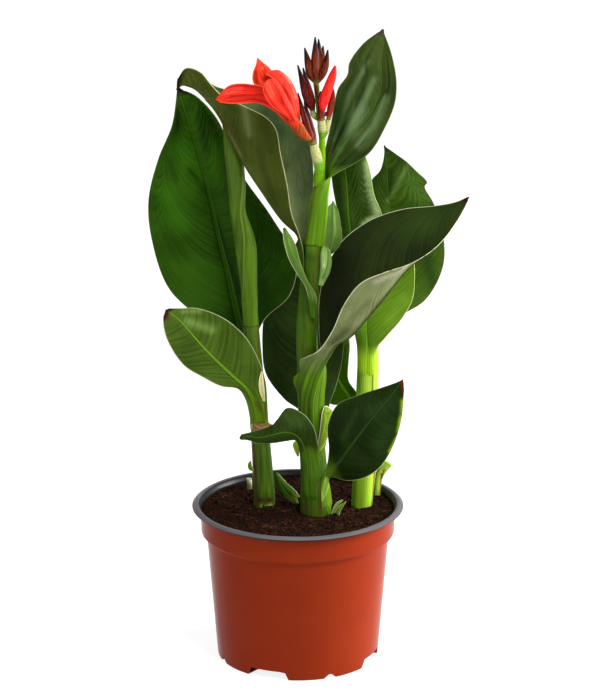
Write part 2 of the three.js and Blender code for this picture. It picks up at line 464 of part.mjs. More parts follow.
function geometryOf(points, faces) {
  const geometry = new THREE.BufferGeometry();
  const numbers = points.flatMap((p) => [p.x, p.y, p.z]);
  geometry.setAttribute('position', new THREE.Float32BufferAttribute(numbers, 3));
  geometry.setIndex(faces.flat());
  return geometry;
}

function signedVolume(points, faces) {
  let sum = 0;
  for (const [a, b, c] of faces) {
    sum += points[a].dot(new THREE.Vector3().crossVectors(points[b], points[c]));
  }
  return sum / 6;
}

// Closed solid from points and triangles, turned so that its faces point out.
function solidOf(points, faces) {
  const outward = signedVolume(points, faces) > 0 ? faces : faces.map(([a, b, c]) => [a, c, b]);
  return toManifold(geometryOf(points, outward));
}

function toManifold(geometry) {
  const bare = geometry.clone();
  bare.deleteAttribute('normal');
  bare.deleteAttribute('uv');
  const merged = mergeVertices(bare, 1e-4);
  return new wasm.Manifold(new wasm.Mesh({
    numProp: 3,
    vertProperties: new Float32Array(merged.attributes.position.array),
    triVerts: new Uint32Array(merged.index.array),
  }));
}

function fromManifold(manifold) {
  const mesh = manifold.getMesh();
  const geometry = new THREE.BufferGeometry();
  geometry.setAttribute('position', new THREE.BufferAttribute(new Float32Array(mesh.vertProperties), 3));
  geometry.setIndex(new THREE.BufferAttribute(new Uint32Array(mesh.triVerts), 1));
  geometry.computeVertexNormals();
  return geometry;
}

const union = (solids) => solids.reduce((sum, solid) => sum.add(solid));

// A cut can leave slivers beside the piece: the piece is the largest body.
function largestBody(manifold) {
  return manifold.decompose().sort((a, b) => b.volume() - a.volume())[0];
}

// Value of an evenly spaced list at t from 0 to 1.
function sample(list, t) {
  const at = t * (list.length - 1);
  const low = Math.min(Math.floor(at), list.length - 2);
  return THREE.MathUtils.lerp(list[low], list[low + 1], at - low);
}

// Closed round loft along a path of points, with a radius for each of them. What grows is a
// clearance: it is wider all round and longer at both ends.
function loft({ path, radii }, { sides = 12, perSpan = 2, grow = 0 } = {}) {
  const curve = new THREE.CatmullRomCurve3(path.map(vec), false, 'centripetal');
  const rings = (path.length - 1) * perSpan;
  const points = [];
  let across = new THREE.Vector3(1, 0, 0);
  for (let i = 0; i <= rings; i += 1) {
    const t = i / rings;
    const along = curve.getTangent(t);
    across = across.sub(along.clone().multiplyScalar(across.dot(along))).normalize();
    const beside = new THREE.Vector3().crossVectors(along, across);
    const radius = sample(radii, t) + grow;
    for (let k = 0; k < sides; k += 1) {
      const angle = (k / sides) * Math.PI * 2;
      points.push(curve.getPoint(t)
        .addScaledVector(along, i === 0 ? -grow : i === rings ? grow : 0)
        .addScaledVector(across, radius * Math.cos(angle))
        .addScaledVector(beside, radius * Math.sin(angle)));
    }
  }
  const faces = [];
  for (let i = 0; i < rings; i += 1) {
    for (let k = 0; k < sides; k += 1) {
      const a = i * sides + k;
      const b = i * sides + ((k + 1) % sides);
      faces.push([a, b, b + sides], [a, b + sides, a + sides]);
    }
  }
  for (let k = 1; k < sides - 1; k += 1) {
    const last = rings * sides;
    faces.push([0, k + 1, k], [last, last + k, last + k + 1]);
  }
  return solidOf(points, faces);
}

// Middle surface of a leaf: rows from base to tip, columns from the left margin to the right.
function bladeSurface({ sections, wave }, rows, half) {
  const curveOf = (k) => new THREE.CatmullRomCurve3(sections.map((s) => vec(s[k])), false, 'centripetal');
  const [left, rib, right] = [0, 1, 2].map(curveOf);
  const bows = sections.map((s) => s[3]);
  const [height, count, phase] = wave;
  const grid = [];
  for (let i = 0; i <= rows; i += 1) {
    const t = i / rows;
    const middle = rib.getPoint(t);
    const along = rib.getTangent(t);
    const row = [];
    for (let j = -half; j <= half; j += 1) {
      const s = Math.abs(j) / half;
      const span = (j < 0 ? left : right).getPoint(t).sub(middle);
      const facing = j < 0 ? along.clone().cross(span) : span.clone().cross(along);
      const sway = Math.sin(2 * Math.PI * (count * t + phase + (j < 0 ? 0 : 0.4)));
      const ripple = height * s ** 3 * sway * Math.min(1, span.length() / RIPPLE_SPAN);
      const bow = sample(bows, t) * 4 * s * (1 - s) * span.length() + ripple;
      row.push(middle.clone().addScaledVector(span, s).addScaledVector(facing.normalize(), bow));
    }
    grid.push(row);
  }
  return grid;
}

// Facing direction of the surface at each of its points, towards the viewer's side.
function surfaceNormals(grid) {
  const rows = grid.length - 1;
  const columns = grid[0].length - 1;
  return grid.map((row, i) => row.map((_, j) => {
    const up = grid[Math.min(i + 1, rows)][j].clone().sub(grid[Math.max(i - 1, 0)][j]);
    const over = grid[i][Math.min(j + 1, columns)].clone().sub(grid[i][Math.max(j - 1, 0)]);
    return over.cross(up).normalize();
  }));
}

// Thin closed solid on both sides of the surface, split alike on both faces, with the midrib
// standing out as a ridge on the face that ridge names (1 towards the viewer, -1 away).
function blade(leaf, { thickness = BLADE, perSpan = 1.5, half = leaf.half ?? 4, rib = RIB } = {}) {
  const rows = Math.round((leaf.sections.length - 1) * perSpan);
  const grid = bladeSurface(leaf, rows, half);
  const normals = surfaceNormals(grid);
  const columns = 2 * half;
  const points = [];
  for (const side of [1, -1]) {
    grid.forEach((row, i) => row.forEach((p, j) => {
      const ridge = j === half && side === leaf.ridge ? rib * (1 - i / rows) : 0;
      points.push(p.clone().addScaledVector(normals[i][j], side * (thickness / 2 + ridge)));
    }));
  }
  const back = (rows + 1) * (columns + 1);
  const at = (i, j) => i * (columns + 1) + j;
  const faces = [];
  for (let i = 0; i < rows; i += 1) {
    for (let j = 0; j < columns; j += 1) {
      const [a, b, c, d] = [at(i, j), at(i, j + 1), at(i + 1, j + 1), at(i + 1, j)];
      faces.push([a, b, c], [a, c, d], [back + a, back + c, back + b], [back + a, back + d, back + c]);
    }
  }
  const edge = (a, b) => faces.push([b, a, back + a], [b, back + a, back + b]);
  for (let j = 0; j < columns; j += 1) {
    edge(at(0, j), at(0, j + 1));
    edge(at(rows, j + 1), at(rows, j));
  }
  for (let i = 0; i < rows; i += 1) {
    edge(at(i + 1, 0), at(i, 0));
    edge(at(i, columns), at(i + 1, columns));
  }
  return solidOf(points, faces);
}

// ---------------------------------------------------------------- pot and soil
const STEP_BOTTOM = POT.collarBottom - POT.step + POT.lift;
const STEP_TOP = POT.collarBottom + POT.lift;

// Inner radius of the pot's wall at a height.
function potInside(z) {
  if (z > STEP_TOP) return POT.collarRadius - POT.wall;
  const share = (z - POT.wall) / (STEP_BOTTOM - POT.wall);
  return THREE.MathUtils.lerp(POT.baseRadius, POT.bodyTopRadius, share) - POT.wall;
}

function potShell() {
  const { height, wall, round, rimRadius, collarRadius, collarBottom, bodyTopRadius, baseRadius } = POT;
  const { discRadius, discHeight, discSlope, lift } = POT;
  const rimBottom = height - POT.rimDepth;
  const roll = rimRadius - POT.step;
  const outside = [
    [0, discHeight], [discRadius, discHeight], [discRadius + discSlope, 0], [baseRadius, 0],
    [bodyTopRadius, collarBottom - POT.step], [collarRadius - POT.draft, collarBottom],
    [collarRadius, rimBottom],
  ];
  const rim = [
    [roll, rimBottom], [rimRadius, rimBottom + round], [rimRadius, height - round],
    [roll, height], [collarRadius + round, height], [collarRadius, height - round],
  ];
  const inside = [
    [collarRadius - wall, rimBottom], [collarRadius - wall, STEP_TOP], [bodyTopRadius - wall, STEP_BOTTOM],
    [baseRadius - wall, wall], [discRadius + discSlope + lift, wall],
    [discRadius + lift, discHeight + wall],
    [0, discHeight + wall],
  ];
  const profile = [...outside, ...rim, ...inside].map(([r, z]) => new THREE.Vector2(r, z));
  const geometry = new THREE.LatheGeometry(profile, POT.sectors);
  geometry.rotateX(Math.PI / 2);
  return solidFromLathe(geometry);
}

function solidFromLathe(geometry) {
  geometry.deleteAttribute('normal');
  geometry.deleteAttribute('uv');
  const merged = mergeVertices(geometry, 1e-3);
  const position = merged.attributes.position;
  const pointAt = (_, i) => new THREE.Vector3().fromBufferAttribute(position, i);
  const points = Array.from({ length: position.count }, pointAt);
  const faces = [];
  for (let i = 0; i < merged.index.count; i += 3) {
    const [a, b, c] = [0, 1, 2].map((k) => merged.index.getX(i + k));
    if (a !== b && b !== c && a !== c) faces.push([a, b, c]);
  }
  return solidOf(points, faces);
}

// Wedge that cuts one notch between the feet: angles in degrees from the front, to the right.
function notchCutter({ from, to, height, slant }, turn) {
  const corner = (degrees, radius, z) => {
    const angle = THREE.MathUtils.degToRad(degrees + turn);
    return new THREE.Vector3(radius * Math.sin(angle), -radius * Math.cos(angle), z);
  };
  const points = [];
  for (const radius of NOTCH_REACH) {
    points.push(corner(from, radius, -1), corner(to, radius, -1));
    points.push(corner(to - slant, radius, height), corner(from + slant, radius, height));
  }
  const quads = [[3, 2, 1, 0], [4, 5, 6, 7], [0, 1, 5, 4], [1, 2, 6, 5], [2, 3, 7, 6], [3, 0, 4, 7]];
  return solidOf(points, quads.flatMap(([a, b, c, d]) => [[a, b, c], [a, c, d]]));
}

function pot() {
  let shell = potShell();
  for (let turn = 0; turn < 360; turn += FOOT_PERIOD) {
    shell = shell.subtract(notchCutter(WIDE_NOTCH, turn)).subtract(notchCutter(SMALL_NOTCH, turn));
  }
  return largestBody(shell);
}

// Surface of the soil: a low mound with small lumps.
function soilHeight(x, y) {
  const [a, b, c, d] = SOIL.lumpLengths.map((length) => (2 * Math.PI) / length);
  const share = 1 - Math.hypot(x, y) / (POT.collarRadius - POT.wall);
  const lumps = Math.sin(x * a + 1) * Math.cos(y * b) + 0.6 * Math.sin(x * c - y * d);
  return SOIL.top + SOIL.mound * share + SOIL.lump * lumps * Math.min(1, share * 6);
}

function soil(holes) {
  const bottom = POT.discHeight + POT.wall + GAP;
  const levels = [bottom, STEP_BOTTOM + GAP, STEP_TOP + GAP];
  const ring = (radius, height) => Array.from({ length: SOIL.sectors }, (_, k) => {
    const angle = (k / SOIL.sectors) * Math.PI * 2;
    const [x, y] = [radius * Math.cos(angle), radius * Math.sin(angle)];
    return new THREE.Vector3(x, y, height ?? soilHeight(x, y));
  });
  const rings = [ring(POT.discRadius, bottom)];
  const reach = potInside(SOIL.top) - GAP;
  levels.forEach((z) => rings.push(ring(potInside(z) - GAP, z)));
  for (let i = SOIL.rings; i > 0; i -= 1) rings.push(ring((i / SOIL.rings) * reach));
  const points = rings.flat();
  const faces = [];
  const n = SOIL.sectors;
  for (let i = 0; i < rings.length - 1; i += 1) {
    for (let k = 0; k < n; k += 1) {
      const a = i * n + k;
      const b = i * n + ((k + 1) % n);
      faces.push([a, b, b + n], [a, b + n, a + n]);
    }
  }
  points.push(new THREE.Vector3(0, 0, bottom), new THREE.Vector3(0, 0, soilHeight(0, 0)));
  const [low, high] = [points.length - 2, points.length - 1];
  for (let k = 0; k < n; k += 1) {
    const next = (k + 1) % n;
    faces.push([low, next, k], [high, (rings.length - 1) * n + k, (rings.length - 1) * n + next]);
  }
  return largestBody(holes.reduce((sum, hole) => sum.subtract(hole), solidOf(points, faces)));
}

// ---------------------------------------------------------------- plant
const BUD = { sides: 7, perSpan: 2 };
const grown = (shape, options) => loft(shape, { ...options, grow: GAP });

const plant = new THREE.Group();

function addPiece(name, solid, colour, roughness = 0.5) {
  const material = new THREE.MeshStandardMaterial({ color: colour, roughness, metalness: 0 });
  const mesh = new THREE.Mesh(fromManifold(solid), material);
  mesh.name = name;
  plant.add(mesh);
}

const stemClearance = Object.fromEntries(Object.entries(STEMS).map(([name, stem]) => [name, grown(stem)]));

// Soil, with a plain hole for each thing that stands in it
const { axillary_bud: bud, ...rooted } = SMALL_SHOOTS;
const shoots = [...Object.values(rooted), SPROUT.foot];
const holes = [...Object.values(stemClearance), ...shoots.map((shape) => grown(shape, BUD))];
const sprout = blade(SPROUT, { thickness: SCRAP, perSpan: 2, half: 3 }).add(loft(SPROUT.foot, BUD));
addPiece('pot', pot(), 0xa8391c, 0.35);
addPiece('potting_soil', soil(holes), 0x3a1c10, 0.95);

// Stems
for (const [name, stem] of Object.entries(STEMS)) addPiece(name, loft(stem), 0x5c8a1a, 0.45);
addPiece('left_furled_leaf', loft(FURLED_LEAF), 0x5f7a2a, 0.45);

// Leaves
for (const [name, leaf] of Object.entries(LEAVES)) {
  addPiece(name, largestBody(blade(leaf).subtract(stemClearance[leaf.stem])), leaf.colour, 0.4);
}

// Young and cut shoots
addPiece('soil_sprout', largestBody(sprout), 0x6a8a3a);
addPiece('axillary_bud', largestBody(loft(bud, BUD).subtract(stemClearance.centre_stem)), 0x5a7a30);
addPiece('cut_stub', loft(SMALL_SHOOTS.cut_stub, BUD), 0x6a7a30);
addPiece('short_stub', loft(SMALL_SHOOTS.short_stub, BUD), 0x9ab070);
addPiece('sprig', loft(SMALL_SHOOTS.sprig, BUD), 0x5a7a20);

// Flower
const stalk = [STALK.rachis, ...STALK.ovaries];
const stalkClearance = union(stalk.map((shape) => grown(shape, BUD)));
addPiece('flower_stalk', union(stalk.map((shape) => loft(shape, BUD))), 0x8fb040);
const cluster = (buds) => largestBody(union(buds.map((bud) => loft(bud, BUD))).subtract(stalkClearance));
addPiece('top_buds', cluster(TOP_BUDS), 0x5c1a14);
addPiece('side_buds', cluster(SIDE_BUDS), 0x5c1a14);
addPiece('bloom_sepals', cluster(BLOOM_SEPALS), 0x6a1c14);
addPiece('opening_bud_sepals', cluster([...OPENING_BUD.sepals, OPENING_BUD.bridge]), 0x6a1c14);
const openingSepals = union([...OPENING_BUD.sepals, OPENING_BUD.bridge].map((shape) => grown(shape, BUD)));
addPiece('opening_bud_petal', largestBody(loft(OPENING_BUD.petal, BUD).subtract(openingSepals)), 0xf00010);
const petals = PETALS.map((sections) => blade({ sections, wave: [0, 1, 0], ridge: 1 },
  { thickness: PETAL, perSpan: 1, half: 3, rib: 0 }));
const sepalClearance = union(BLOOM_SEPALS.map((shape) => grown(shape, BUD)));
const bloom = union([loft(THROAT, BUD), ...petals]);
addPiece('bloom_petals', largestBody(bloom.subtract(sepalClearance).subtract(stalkClearance)), 0xff3a20, 0.4);

// The middle of the plant's outline goes over the origin
const outline = new THREE.Box3().setFromObject(plant);
const middle = outline.getCenter(new THREE.Vector3());
plant.position.set(-middle.x, -middle.y, 0);
plant.updateMatrixWorld(true);

export default plant;
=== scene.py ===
"""Canna lily in its nursery pot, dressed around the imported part.

Every piece is laid out in millimetres from the pot's axis, as the solids are: +X to the right, -Y to the
viewer, +Z up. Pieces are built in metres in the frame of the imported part.
"""
import functools
import math
import random

import bpy
import numpy as np
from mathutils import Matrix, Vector, noise


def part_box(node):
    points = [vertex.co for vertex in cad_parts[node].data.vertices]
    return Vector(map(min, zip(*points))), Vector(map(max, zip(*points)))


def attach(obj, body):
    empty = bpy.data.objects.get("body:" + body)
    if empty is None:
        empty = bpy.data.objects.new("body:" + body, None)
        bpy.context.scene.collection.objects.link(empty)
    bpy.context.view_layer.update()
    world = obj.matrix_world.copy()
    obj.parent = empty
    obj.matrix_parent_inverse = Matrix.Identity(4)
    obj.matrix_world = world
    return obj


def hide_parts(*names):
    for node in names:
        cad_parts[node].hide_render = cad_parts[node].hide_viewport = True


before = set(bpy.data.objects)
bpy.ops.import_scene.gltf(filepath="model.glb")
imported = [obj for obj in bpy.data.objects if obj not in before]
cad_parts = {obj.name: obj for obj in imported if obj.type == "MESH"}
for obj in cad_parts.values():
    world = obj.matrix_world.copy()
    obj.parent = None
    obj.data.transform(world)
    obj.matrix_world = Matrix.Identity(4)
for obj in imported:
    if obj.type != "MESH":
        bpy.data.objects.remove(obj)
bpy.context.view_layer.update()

bl_info = {
    "name": "Potted canna lily",
    "version": (1, 0, 0),
    "blender": (4, 5, 0),
    "location": "View3D > Sidebar > Canna",
    "description": "Builds a canna lily in flower in a round nursery pot, with its stage",
    "category": "Object",
}

POT_LOW, POT_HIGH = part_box("pot")
AXIS = (POT_LOW + POT_HIGH) / 2     # the pot's axis stands here
MM = 0.001


def linear(code):
    """Linear RGBA of an sRGB hex colour."""
    shares = [int(code[i:i + 2], 16) / 255 for i in (1, 3, 5)]
    return tuple(v / 12.92 if v <= 0.04045 else ((v + 0.055) / 1.055) ** 2.4 for v in shares) + (1.0,)


# ---------------------------------------------------------------- sizes and places (mm)
POT = {
    "rim_radius": 95, "height": 143, "rim_depth": 4.4, "collar_radius": 87.5, "collar_bottom": 117,
    "body_top_radius": 82, "draft": 0.6, "step": 3, "lift": 1, "base_radius": 72.8, "wall": 1.4,
    "disc_radius": 54, "disc_height": 5, "disc_slope": 2,
}
FOOT_PERIOD = 90
NOTCH_REACH = (58, 79)
NOTCHES = [(-38, -6, 8, 3), (18, 29, 4, 4)]     # from, to, height and slant, in degrees and mm

SOIL_TOP = 136.5
SOIL_MOUND = 2
SOIL_LUMP = 0.9
SOIL_WAVES = (30, 24, 15, 17)

# Stems: path of the middle with the radius at each point
STEMS = {
    "left_stem": [
        (-29.7, 8.6, 112.2, 9.2), (-29.7, 8.6, 138, 9.4), (-32.7, 8.6, 194.5, 8.1),
        (-35.7, 8.6, 236.1, 7.4), (-41.6, 7.6, 306.5, 7),
    ],
    "centre_stem": [
        (15.9, -10.2, 112.2, 13.2), (15.9, -10.2, 138, 13.4), (13.9, -12.2, 184.6, 11.2),
        (11.9, -14.2, 225.2, 9.4), (8.9, -17.1, 276.8, 9.4), (7.9, -18.1, 309.5, 9.3),
        (9.9, -20.1, 346.1, 8.5), (12.9, -22.1, 382.8, 7.4), (16.9, -22.1, 415.5, 5.8),
        (18.8, -22.1, 439.3, 5),
    ],
    "right_stem": [
        (57.5, 7.6, 112.2, 9), (57.5, 7.6, 138, 9.2), (61.5, 7.6, 189.5, 10), (61.5, 7.6, 237.1, 9.6),
        (62.5, 7.6, 283.7, 9), (60.5, 8.6, 324.3, 6.6),
    ],
}
FURLED_LEAF = [
    (-41.6, 7.6, 307, 7), (-42.6, 7.6, 326.3, 7), (-43.6, 7.6, 348.1, 7.6), (-45.6, 7.6, 374.9, 9.2),
    (-47.6, 6.6, 388.8, 8.6), (-52.5, 5.7, 409.6, 6.6), (-53.5, 4.7, 434.4, 7.4), (-56.5, 3.7, 463.1, 7.2),
    (-61.4, 3.7, 482.9, 3.6), (-65.4, 3.7, 491.8, 0.5),
]

# Leaves: the slot, the side that the underside faces (1 the viewer), the margin's ripple (height, count and
# phase) and the cross-sections from sheath to tip, each with its left margin, midrib, right margin and bow
LEAVES = {
    "left_broad_leaf": ("leaf_mid_green", -1, (0.8, 3, 0.2), [
        (-40.6, 10.6, 203.4, -33.7, 17.1, 203.4, -25.8, 11.6, 203.4, -0.25),
        (-42.6, 11.6, 232.2, -35.7, 17.1, 232.2, -28.7, 12.6, 232.2, -0.25),
        (-46.6, 14.6, 258.9, -39.6, 19.5, 258.9, -32.7, 15.6, 258.9, -0.2),
        (-55.5, 21.5, 283.7, -45.6, 22.5, 281.7, -37.6, 18.5, 286.7, -0.06),
        (-82.2, 23.5, 304.5, -53.5, 25.5, 310.5, -29.7, 17.5, 308.5, -0.03),
        (-114, 25.5, 334.2, -61.4, 31.4, 346.1, -6.9, 14.6, 332.3, 0.03),
        (-128.8, 27.5, 376.9, -70.4, 35.4, 382.8, -1, 17.5, 362, 0.05),
        (-131.8, 27.5, 415.5, -78.3, 37.4, 419.5, -22.8, 24.5, 400.7, 0.06),
        (-122.9, 27.5, 452.2, -87.2, 35.4, 454.2, -50.5, 28.4, 440.3, 0.06),
        (-110, 25.5, 482.9, -96.1, 30.4, 486.9, -70.4, 27.5, 488.9, 0.05),
        (-106, 23.5, 506.7, -102.1, 25.5, 508.7, -87.2, 25.5, 508.7, 0),
        (-105, 22.5, 515.6, -104.1, 22.5, 518.6, -101.1, 22.5, 515.6, 0),
    ]),
    "left_small_leaf": ("leaf_mid_green", -1, (0.8, 2, 0.6), [
        (-41.6, 8.6, 197.5, -32.7, -0.8, 197.5, -23.8, 8.6, 197.5, 0.27),
        (-42.6, 7.6, 217.3, -34.7, -0.3, 219.3, -26.7, 4.7, 219.3, 0.27),
        (-46.6, 3.7, 239.1, -39.6, -2.3, 240.1, -27.7, 2.7, 243.1, 0.2),
        (-53.5, -6.2, 252, -45.6, -5.2, 252, -28.7, 0.7, 256.9, 0.08),
        (-67.4, -13.2, 255.9, -58.5, -9.2, 265.9, -33.7, -4.3, 275.8, -0.03),
        (-83.2, -22.1, 266.9, -73.3, -16.2, 282.7, -45.6, -8.2, 299.6, -0.06),
        (-100.1, -30, 280.7, -88.2, -23.1, 301.5, -64.4, -16.2, 319.4, -0.07),
        (-113, -35, 302.5, -101.1, -29, 319.4, -87.2, -22.1, 330.3, -0.05),
        (-116.9, -36, 316.4, -110, -32, 328.3, -103.1, -29, 332.3, 0),
        (-116.9, -34, 326.3, -115, -34, 332.3, -112, -33, 333.3, 0),
    ]),
    "low_curled_leaf": ("leaf_dark_green", -1, (0.5, 2, 0), [
        (4, -18.1, 153.9, 10.9, -24.6, 153.9, 17.9, -25.1, 153.9, 0.1),
        (3, -17.1, 175.7, 9.9, -24.1, 175.7, 17.9, -24.1, 175.7, 0.1),
        (2, -25.1, 193.5, 8.9, -28, 193.5, 18.8, -27.1, 195.5, 0.08),
        (1, -31, 204.4, 5, -34, 208.4, 17.9, -34, 209.4, 0.05),
        (-2, -36, 213.3, -1, -39.9, 219.3, 13.9, -39.9, 227.2, 0.05),
        (-9.9, -39.9, 214.3, -9.9, -44.9, 224.2, 5, -42.9, 240.1, 0.06),
        (-22.8, -39.9, 212.3, -21.8, -43.9, 221.3, -8.9, -43.9, 246, 0.06),
        (-34.7, -37, 211.3, -34.7, -39.9, 217.3, -20.8, -40.9, 230.2, 0.04),
        (-44.6, -35, 213.3, -44.6, -36, 217.3, -38.6, -37, 222.2, 0),
        (-50.5, -34, 213.3, -51.5, -34, 215.3, -49.5, -34, 218.3, 0),
    ]),
    "low_right_leaf": ("leaf_dark_green", -1, (0.6, 2, 0.3), [
        (21.8, -24.1, 142, 28.8, -18.1, 142, 30.7, -8.2, 142, 0.12),
        (20.8, -24.1, 157.8, 27.3, -19.1, 157.8, 28.8, -9.2, 157.8, 0.12),
        (20.8, -24.1, 171.7, 25.8, -23.1, 171.7, 27.3, -16.2, 169.7, 0.1),
        (25.8, -28, 186.6, 28.8, -28, 181.6, 31.7, -26.1, 175.7, 0.05),
        (27.8, -34, 205.4, 37.7, -36, 194.5, 44.6, -36, 175.7, 0.06),
        (26.8, -41.9, 230.2, 47.6, -44.9, 212.3, 60.5, -45.9, 182.6, 0.07),
        (34.7, -47.9, 250, 59.5, -51.8, 231.2, 73.4, -52.8, 195.5, 0.07),
        (52.5, -54.8, 260.9, 71.4, -57.8, 249, 84.3, -59.8, 218.3, 0.06),
        (75.3, -60.8, 270.8, 83.3, -62.7, 265.9, 90.2, -64.7, 242.1, 0.03),
        (89.2, -63.7, 276.8, 91.2, -64.7, 278.7, 92.2, -65.7, 269.8, 0),
    ]),
    "boat_leaf": ("leaf_dark_green", 1, (0.7, 3, 0.1), [
        (2, -12.2, 191.5, 13.9, -24.1, 191.5, 24.8, -13.2, 191.5, 0.25),
        (1, -14.2, 222.2, 12.9, -26.1, 222.2, 23.8, -16.2, 222.2, 0.25),
        (0, -18.1, 250, 12.9, -28, 248, 23.8, -18.1, 250, 0.22),
        (-3.9, -26.1, 267.3, 15.9, -30.5, 263.9, 24.8, -19.6, 265.9, 0.16),
        (2, -29.5, 275.3, 18.8, -31.5, 273.8, 24.3, -20.1, 276.3, 0.12),
        (2, -31.5, 285.7, 22.8, -33, 282.7, 22.3, -21.1, 286.2, 0.08),
        (8.9, -36, 291.1, 27.8, -34.7, 292.1, 19.8, -21.6, 299.6, 0.05),
        (17.9, -41.9, 297.6, 33.7, -37, 302.5, 18.8, -17.1, 315.4, 0.03),
        (29.8, -51.8, 317.4, 44.6, -39.9, 309.5, 18.8, -12.2, 337.2, 0.03),
        (40.7, -58.8, 345.2, 59.5, -43.9, 327.3, 23.8, -9.2, 360, 0.03),
        (54.5, -62.7, 365, 76.3, -48.9, 350.1, 36.7, -7.2, 384.8, 0.03),
        (74.4, -64.7, 374.9, 93.2, -52.8, 372.9, 61.5, -10.2, 405.6, 0.03),
        (98.1, -64.7, 382.8, 108.1, -56.8, 388.8, 90.2, -19.1, 418.5, 0.03),
        (119, -63.7, 396.7, 123.9, -59.8, 407.6, 116, -34, 425.4, 0.02),
        (136.8, -62.7, 420.5, 137.8, -61.7, 426.4, 134.8, -51.8, 433.4, 0),
        (144.7, -62.7, 437.3, 145.7, -61.7, 440.3, 144.7, -59.8, 439.3, 0),
    ]),
    "small_clasping_leaf": ("leaf_mid_green", 1, (0, 1, 0), [
        (10.9, -29, 326.3, 13.9, -29.5, 324.3, 16.9, -29, 322.4, 0.05),
        (7, -30, 351.1, 11.9, -30, 348.1, 15.9, -29.5, 344.2, 0.06),
        (-1, -32, 365, 5, -31.5, 362, 8.9, -31, 358, 0),
        (-7.9, -35, 378.9, -2, -34, 375.9, 2, -31, 374.9, -0.05),
        (-11.9, -35, 393.7, -7.9, -34, 389.8, -1, -31, 387.8, -0.05),
        (-12.9, -34, 401.6, -9.9, -34, 399.7, -4.9, -32, 396.7, 0),
        (-12.9, -34, 404.6, -11.9, -34, 406.6, -9.9, -34, 404.6, 0),
    ]),
    "arching_leaf": ("leaf_olive", 1, (0.6, 2, 0.5), [
        (6, -13.2, 362, 2, -20.1, 360, 5, -28, 362, 0.2),
        (7.9, -12.2, 383.8, 3, -20.1, 381.8, 5, -28, 381.8, 0.15),
        (9.9, -8.2, 397.7, 1, -18.1, 395.7, 2, -27.1, 396.7, 0.1),
        (12.9, 1.7, 417.5, -12.9, -14.2, 408.6, -4.9, -26.1, 416.5, 0.06),
        (13.9, 11.6, 444.3, -30.7, -10.2, 433.4, -8.9, -25.1, 441.3, 0.06),
        (10.9, 15.6, 468.1, -44.6, -7.2, 454.2, -14.8, -22.1, 468.1, 0.06),
        (4, 15.6, 482.9, -56.5, -6.2, 476, -18.8, -21.1, 489.9, 0.06),
        (-10.9, 13.6, 498.8, -66.4, -6.2, 495.8, -26.7, -20.1, 499.8, 0.06),
        (-34.7, 9.6, 510.7, -73.3, -7.2, 506.7, -44.6, -20.1, 509.7, 0.06),
        (-56.5, 3.7, 518.6, -80.3, -8.2, 514.6, -64.4, -20.1, 519.6, 0.06),
        (-68.4, -1.3, 522.6, -88.2, -10.2, 522.6, -74.3, -20.1, 529.5, 0.08),
        (-82.2, -6.2, 530.5, -94.1, -12.2, 525.5, -83.2, -19.1, 539.4, 0.1),
        (-94.1, -10.2, 532.5, -100.1, -14.2, 526.5, -95.1, -17.1, 542.4, 0.08),
        (-102.1, -13.2, 528.5, -104.1, -14.2, 522.6, -103.1, -15.2, 532.5, 0),
    ]),
    "top_leaf": ("leaf_grey_green", -1, (1, 3, 0.2), [
        (9.9, -14.2, 387.8, 20.8, -25.1, 387.8, 5.5, -22.1, 387.8, -0.36),
        (14.4, -15.7, 415.5, 23.8, -24.6, 415.5, 9.9, -22.1, 415.5, -0.36),
        (16.4, -16.2, 433.4, 24.8, -24.1, 433.4, 11.9, -24.6, 433.4, -0.3),
        (19.8, -15.2, 445.3, 26.3, -23.1, 445.3, 19.8, -30, 443.3, -0.2),
        (22.8, -15.2, 457.2, 27.8, -22.1, 454.2, 30.7, -28, 451.2, -0.05),
        (23.8, -16.2, 471, 34.7, -20.1, 468.1, 47.6, -22.1, 459.1, 0.03),
        (28.8, -16.2, 494.8, 46.6, -18.1, 484.9, 62.5, -21.1, 470, 0.04),
        (31.7, -14.2, 511.7, 59.5, -14.2, 497.8, 75.3, -18.1, 490.9, 0.05),
        (34.7, -10.2, 523.6, 67.4, -10.2, 510.7, 83.3, -14.2, 510.7, 0.05),
        (42.6, -6.2, 534.5, 72.4, -5.2, 526.5, 84.8, -10.2, 528.5, 0.05),
        (44.6, -2.3, 544.4, 72.4, -0.3, 544.4, 82.3, -5.2, 546.4, 0.05),
        (56.5, 2.7, 560.2, 74.4, 4.7, 560.2, 78.3, 1.7, 559.2, 0.03),
        (70.4, 6.6, 570.1, 73.4, 7.6, 572.1, 74.4, 6.6, 567.2, 0),
    ]),
    "rear_dark_leaf": ("leaf_dark_green", -1, (0.7, 3, 0.4), [
        (4, -7.2, 193.5, 13.9, -1.8, 193.5, 23.8, -7.2, 193.5, -0.22),
        (3, -6.2, 213.3, 12.9, -2.8, 213.3, 26.8, -9.2, 213.3, -0.15),
        (3, -0.3, 227.2, 13.9, 1.7, 233.2, 27.8, -2.3, 233.2, -0.06),
        (-11.9, 15.6, 235.1, 12.9, 13.6, 254, 34.7, 13.6, 249, 0.03),
        (-28.7, 25.5, 255.9, 10.9, 21.5, 279.7, 39.7, 20.5, 269.8, 0.04),
        (-31.7, 30.4, 281.7, 8.9, 26.5, 307.5, 41.6, 25.5, 294.6, 0.04),
        (-28.7, 33.4, 317.4, 7, 29.4, 336.2, 37.7, 28.4, 327.3, 0.04),
        (-17.8, 34.4, 348.1, 7, 31.4, 360, 28.8, 31.4, 352.1, 0.04),
        (-2, 33.4, 373.9, 7, 32.4, 379.8, 15.9, 32.4, 370.9, 0.02),
        (5, 32.4, 391.7, 7, 32.4, 394.7, 8.9, 32.4, 391.7, 0),
    ]),
    "bright_leaf": ("leaf_bright_green", -1, (0.7, 2, 0.2), [
        (53.5, 2.7, 261.9, 61.5, -2.8, 261.9, 70.4, 2.7, 261.9, 0.2),
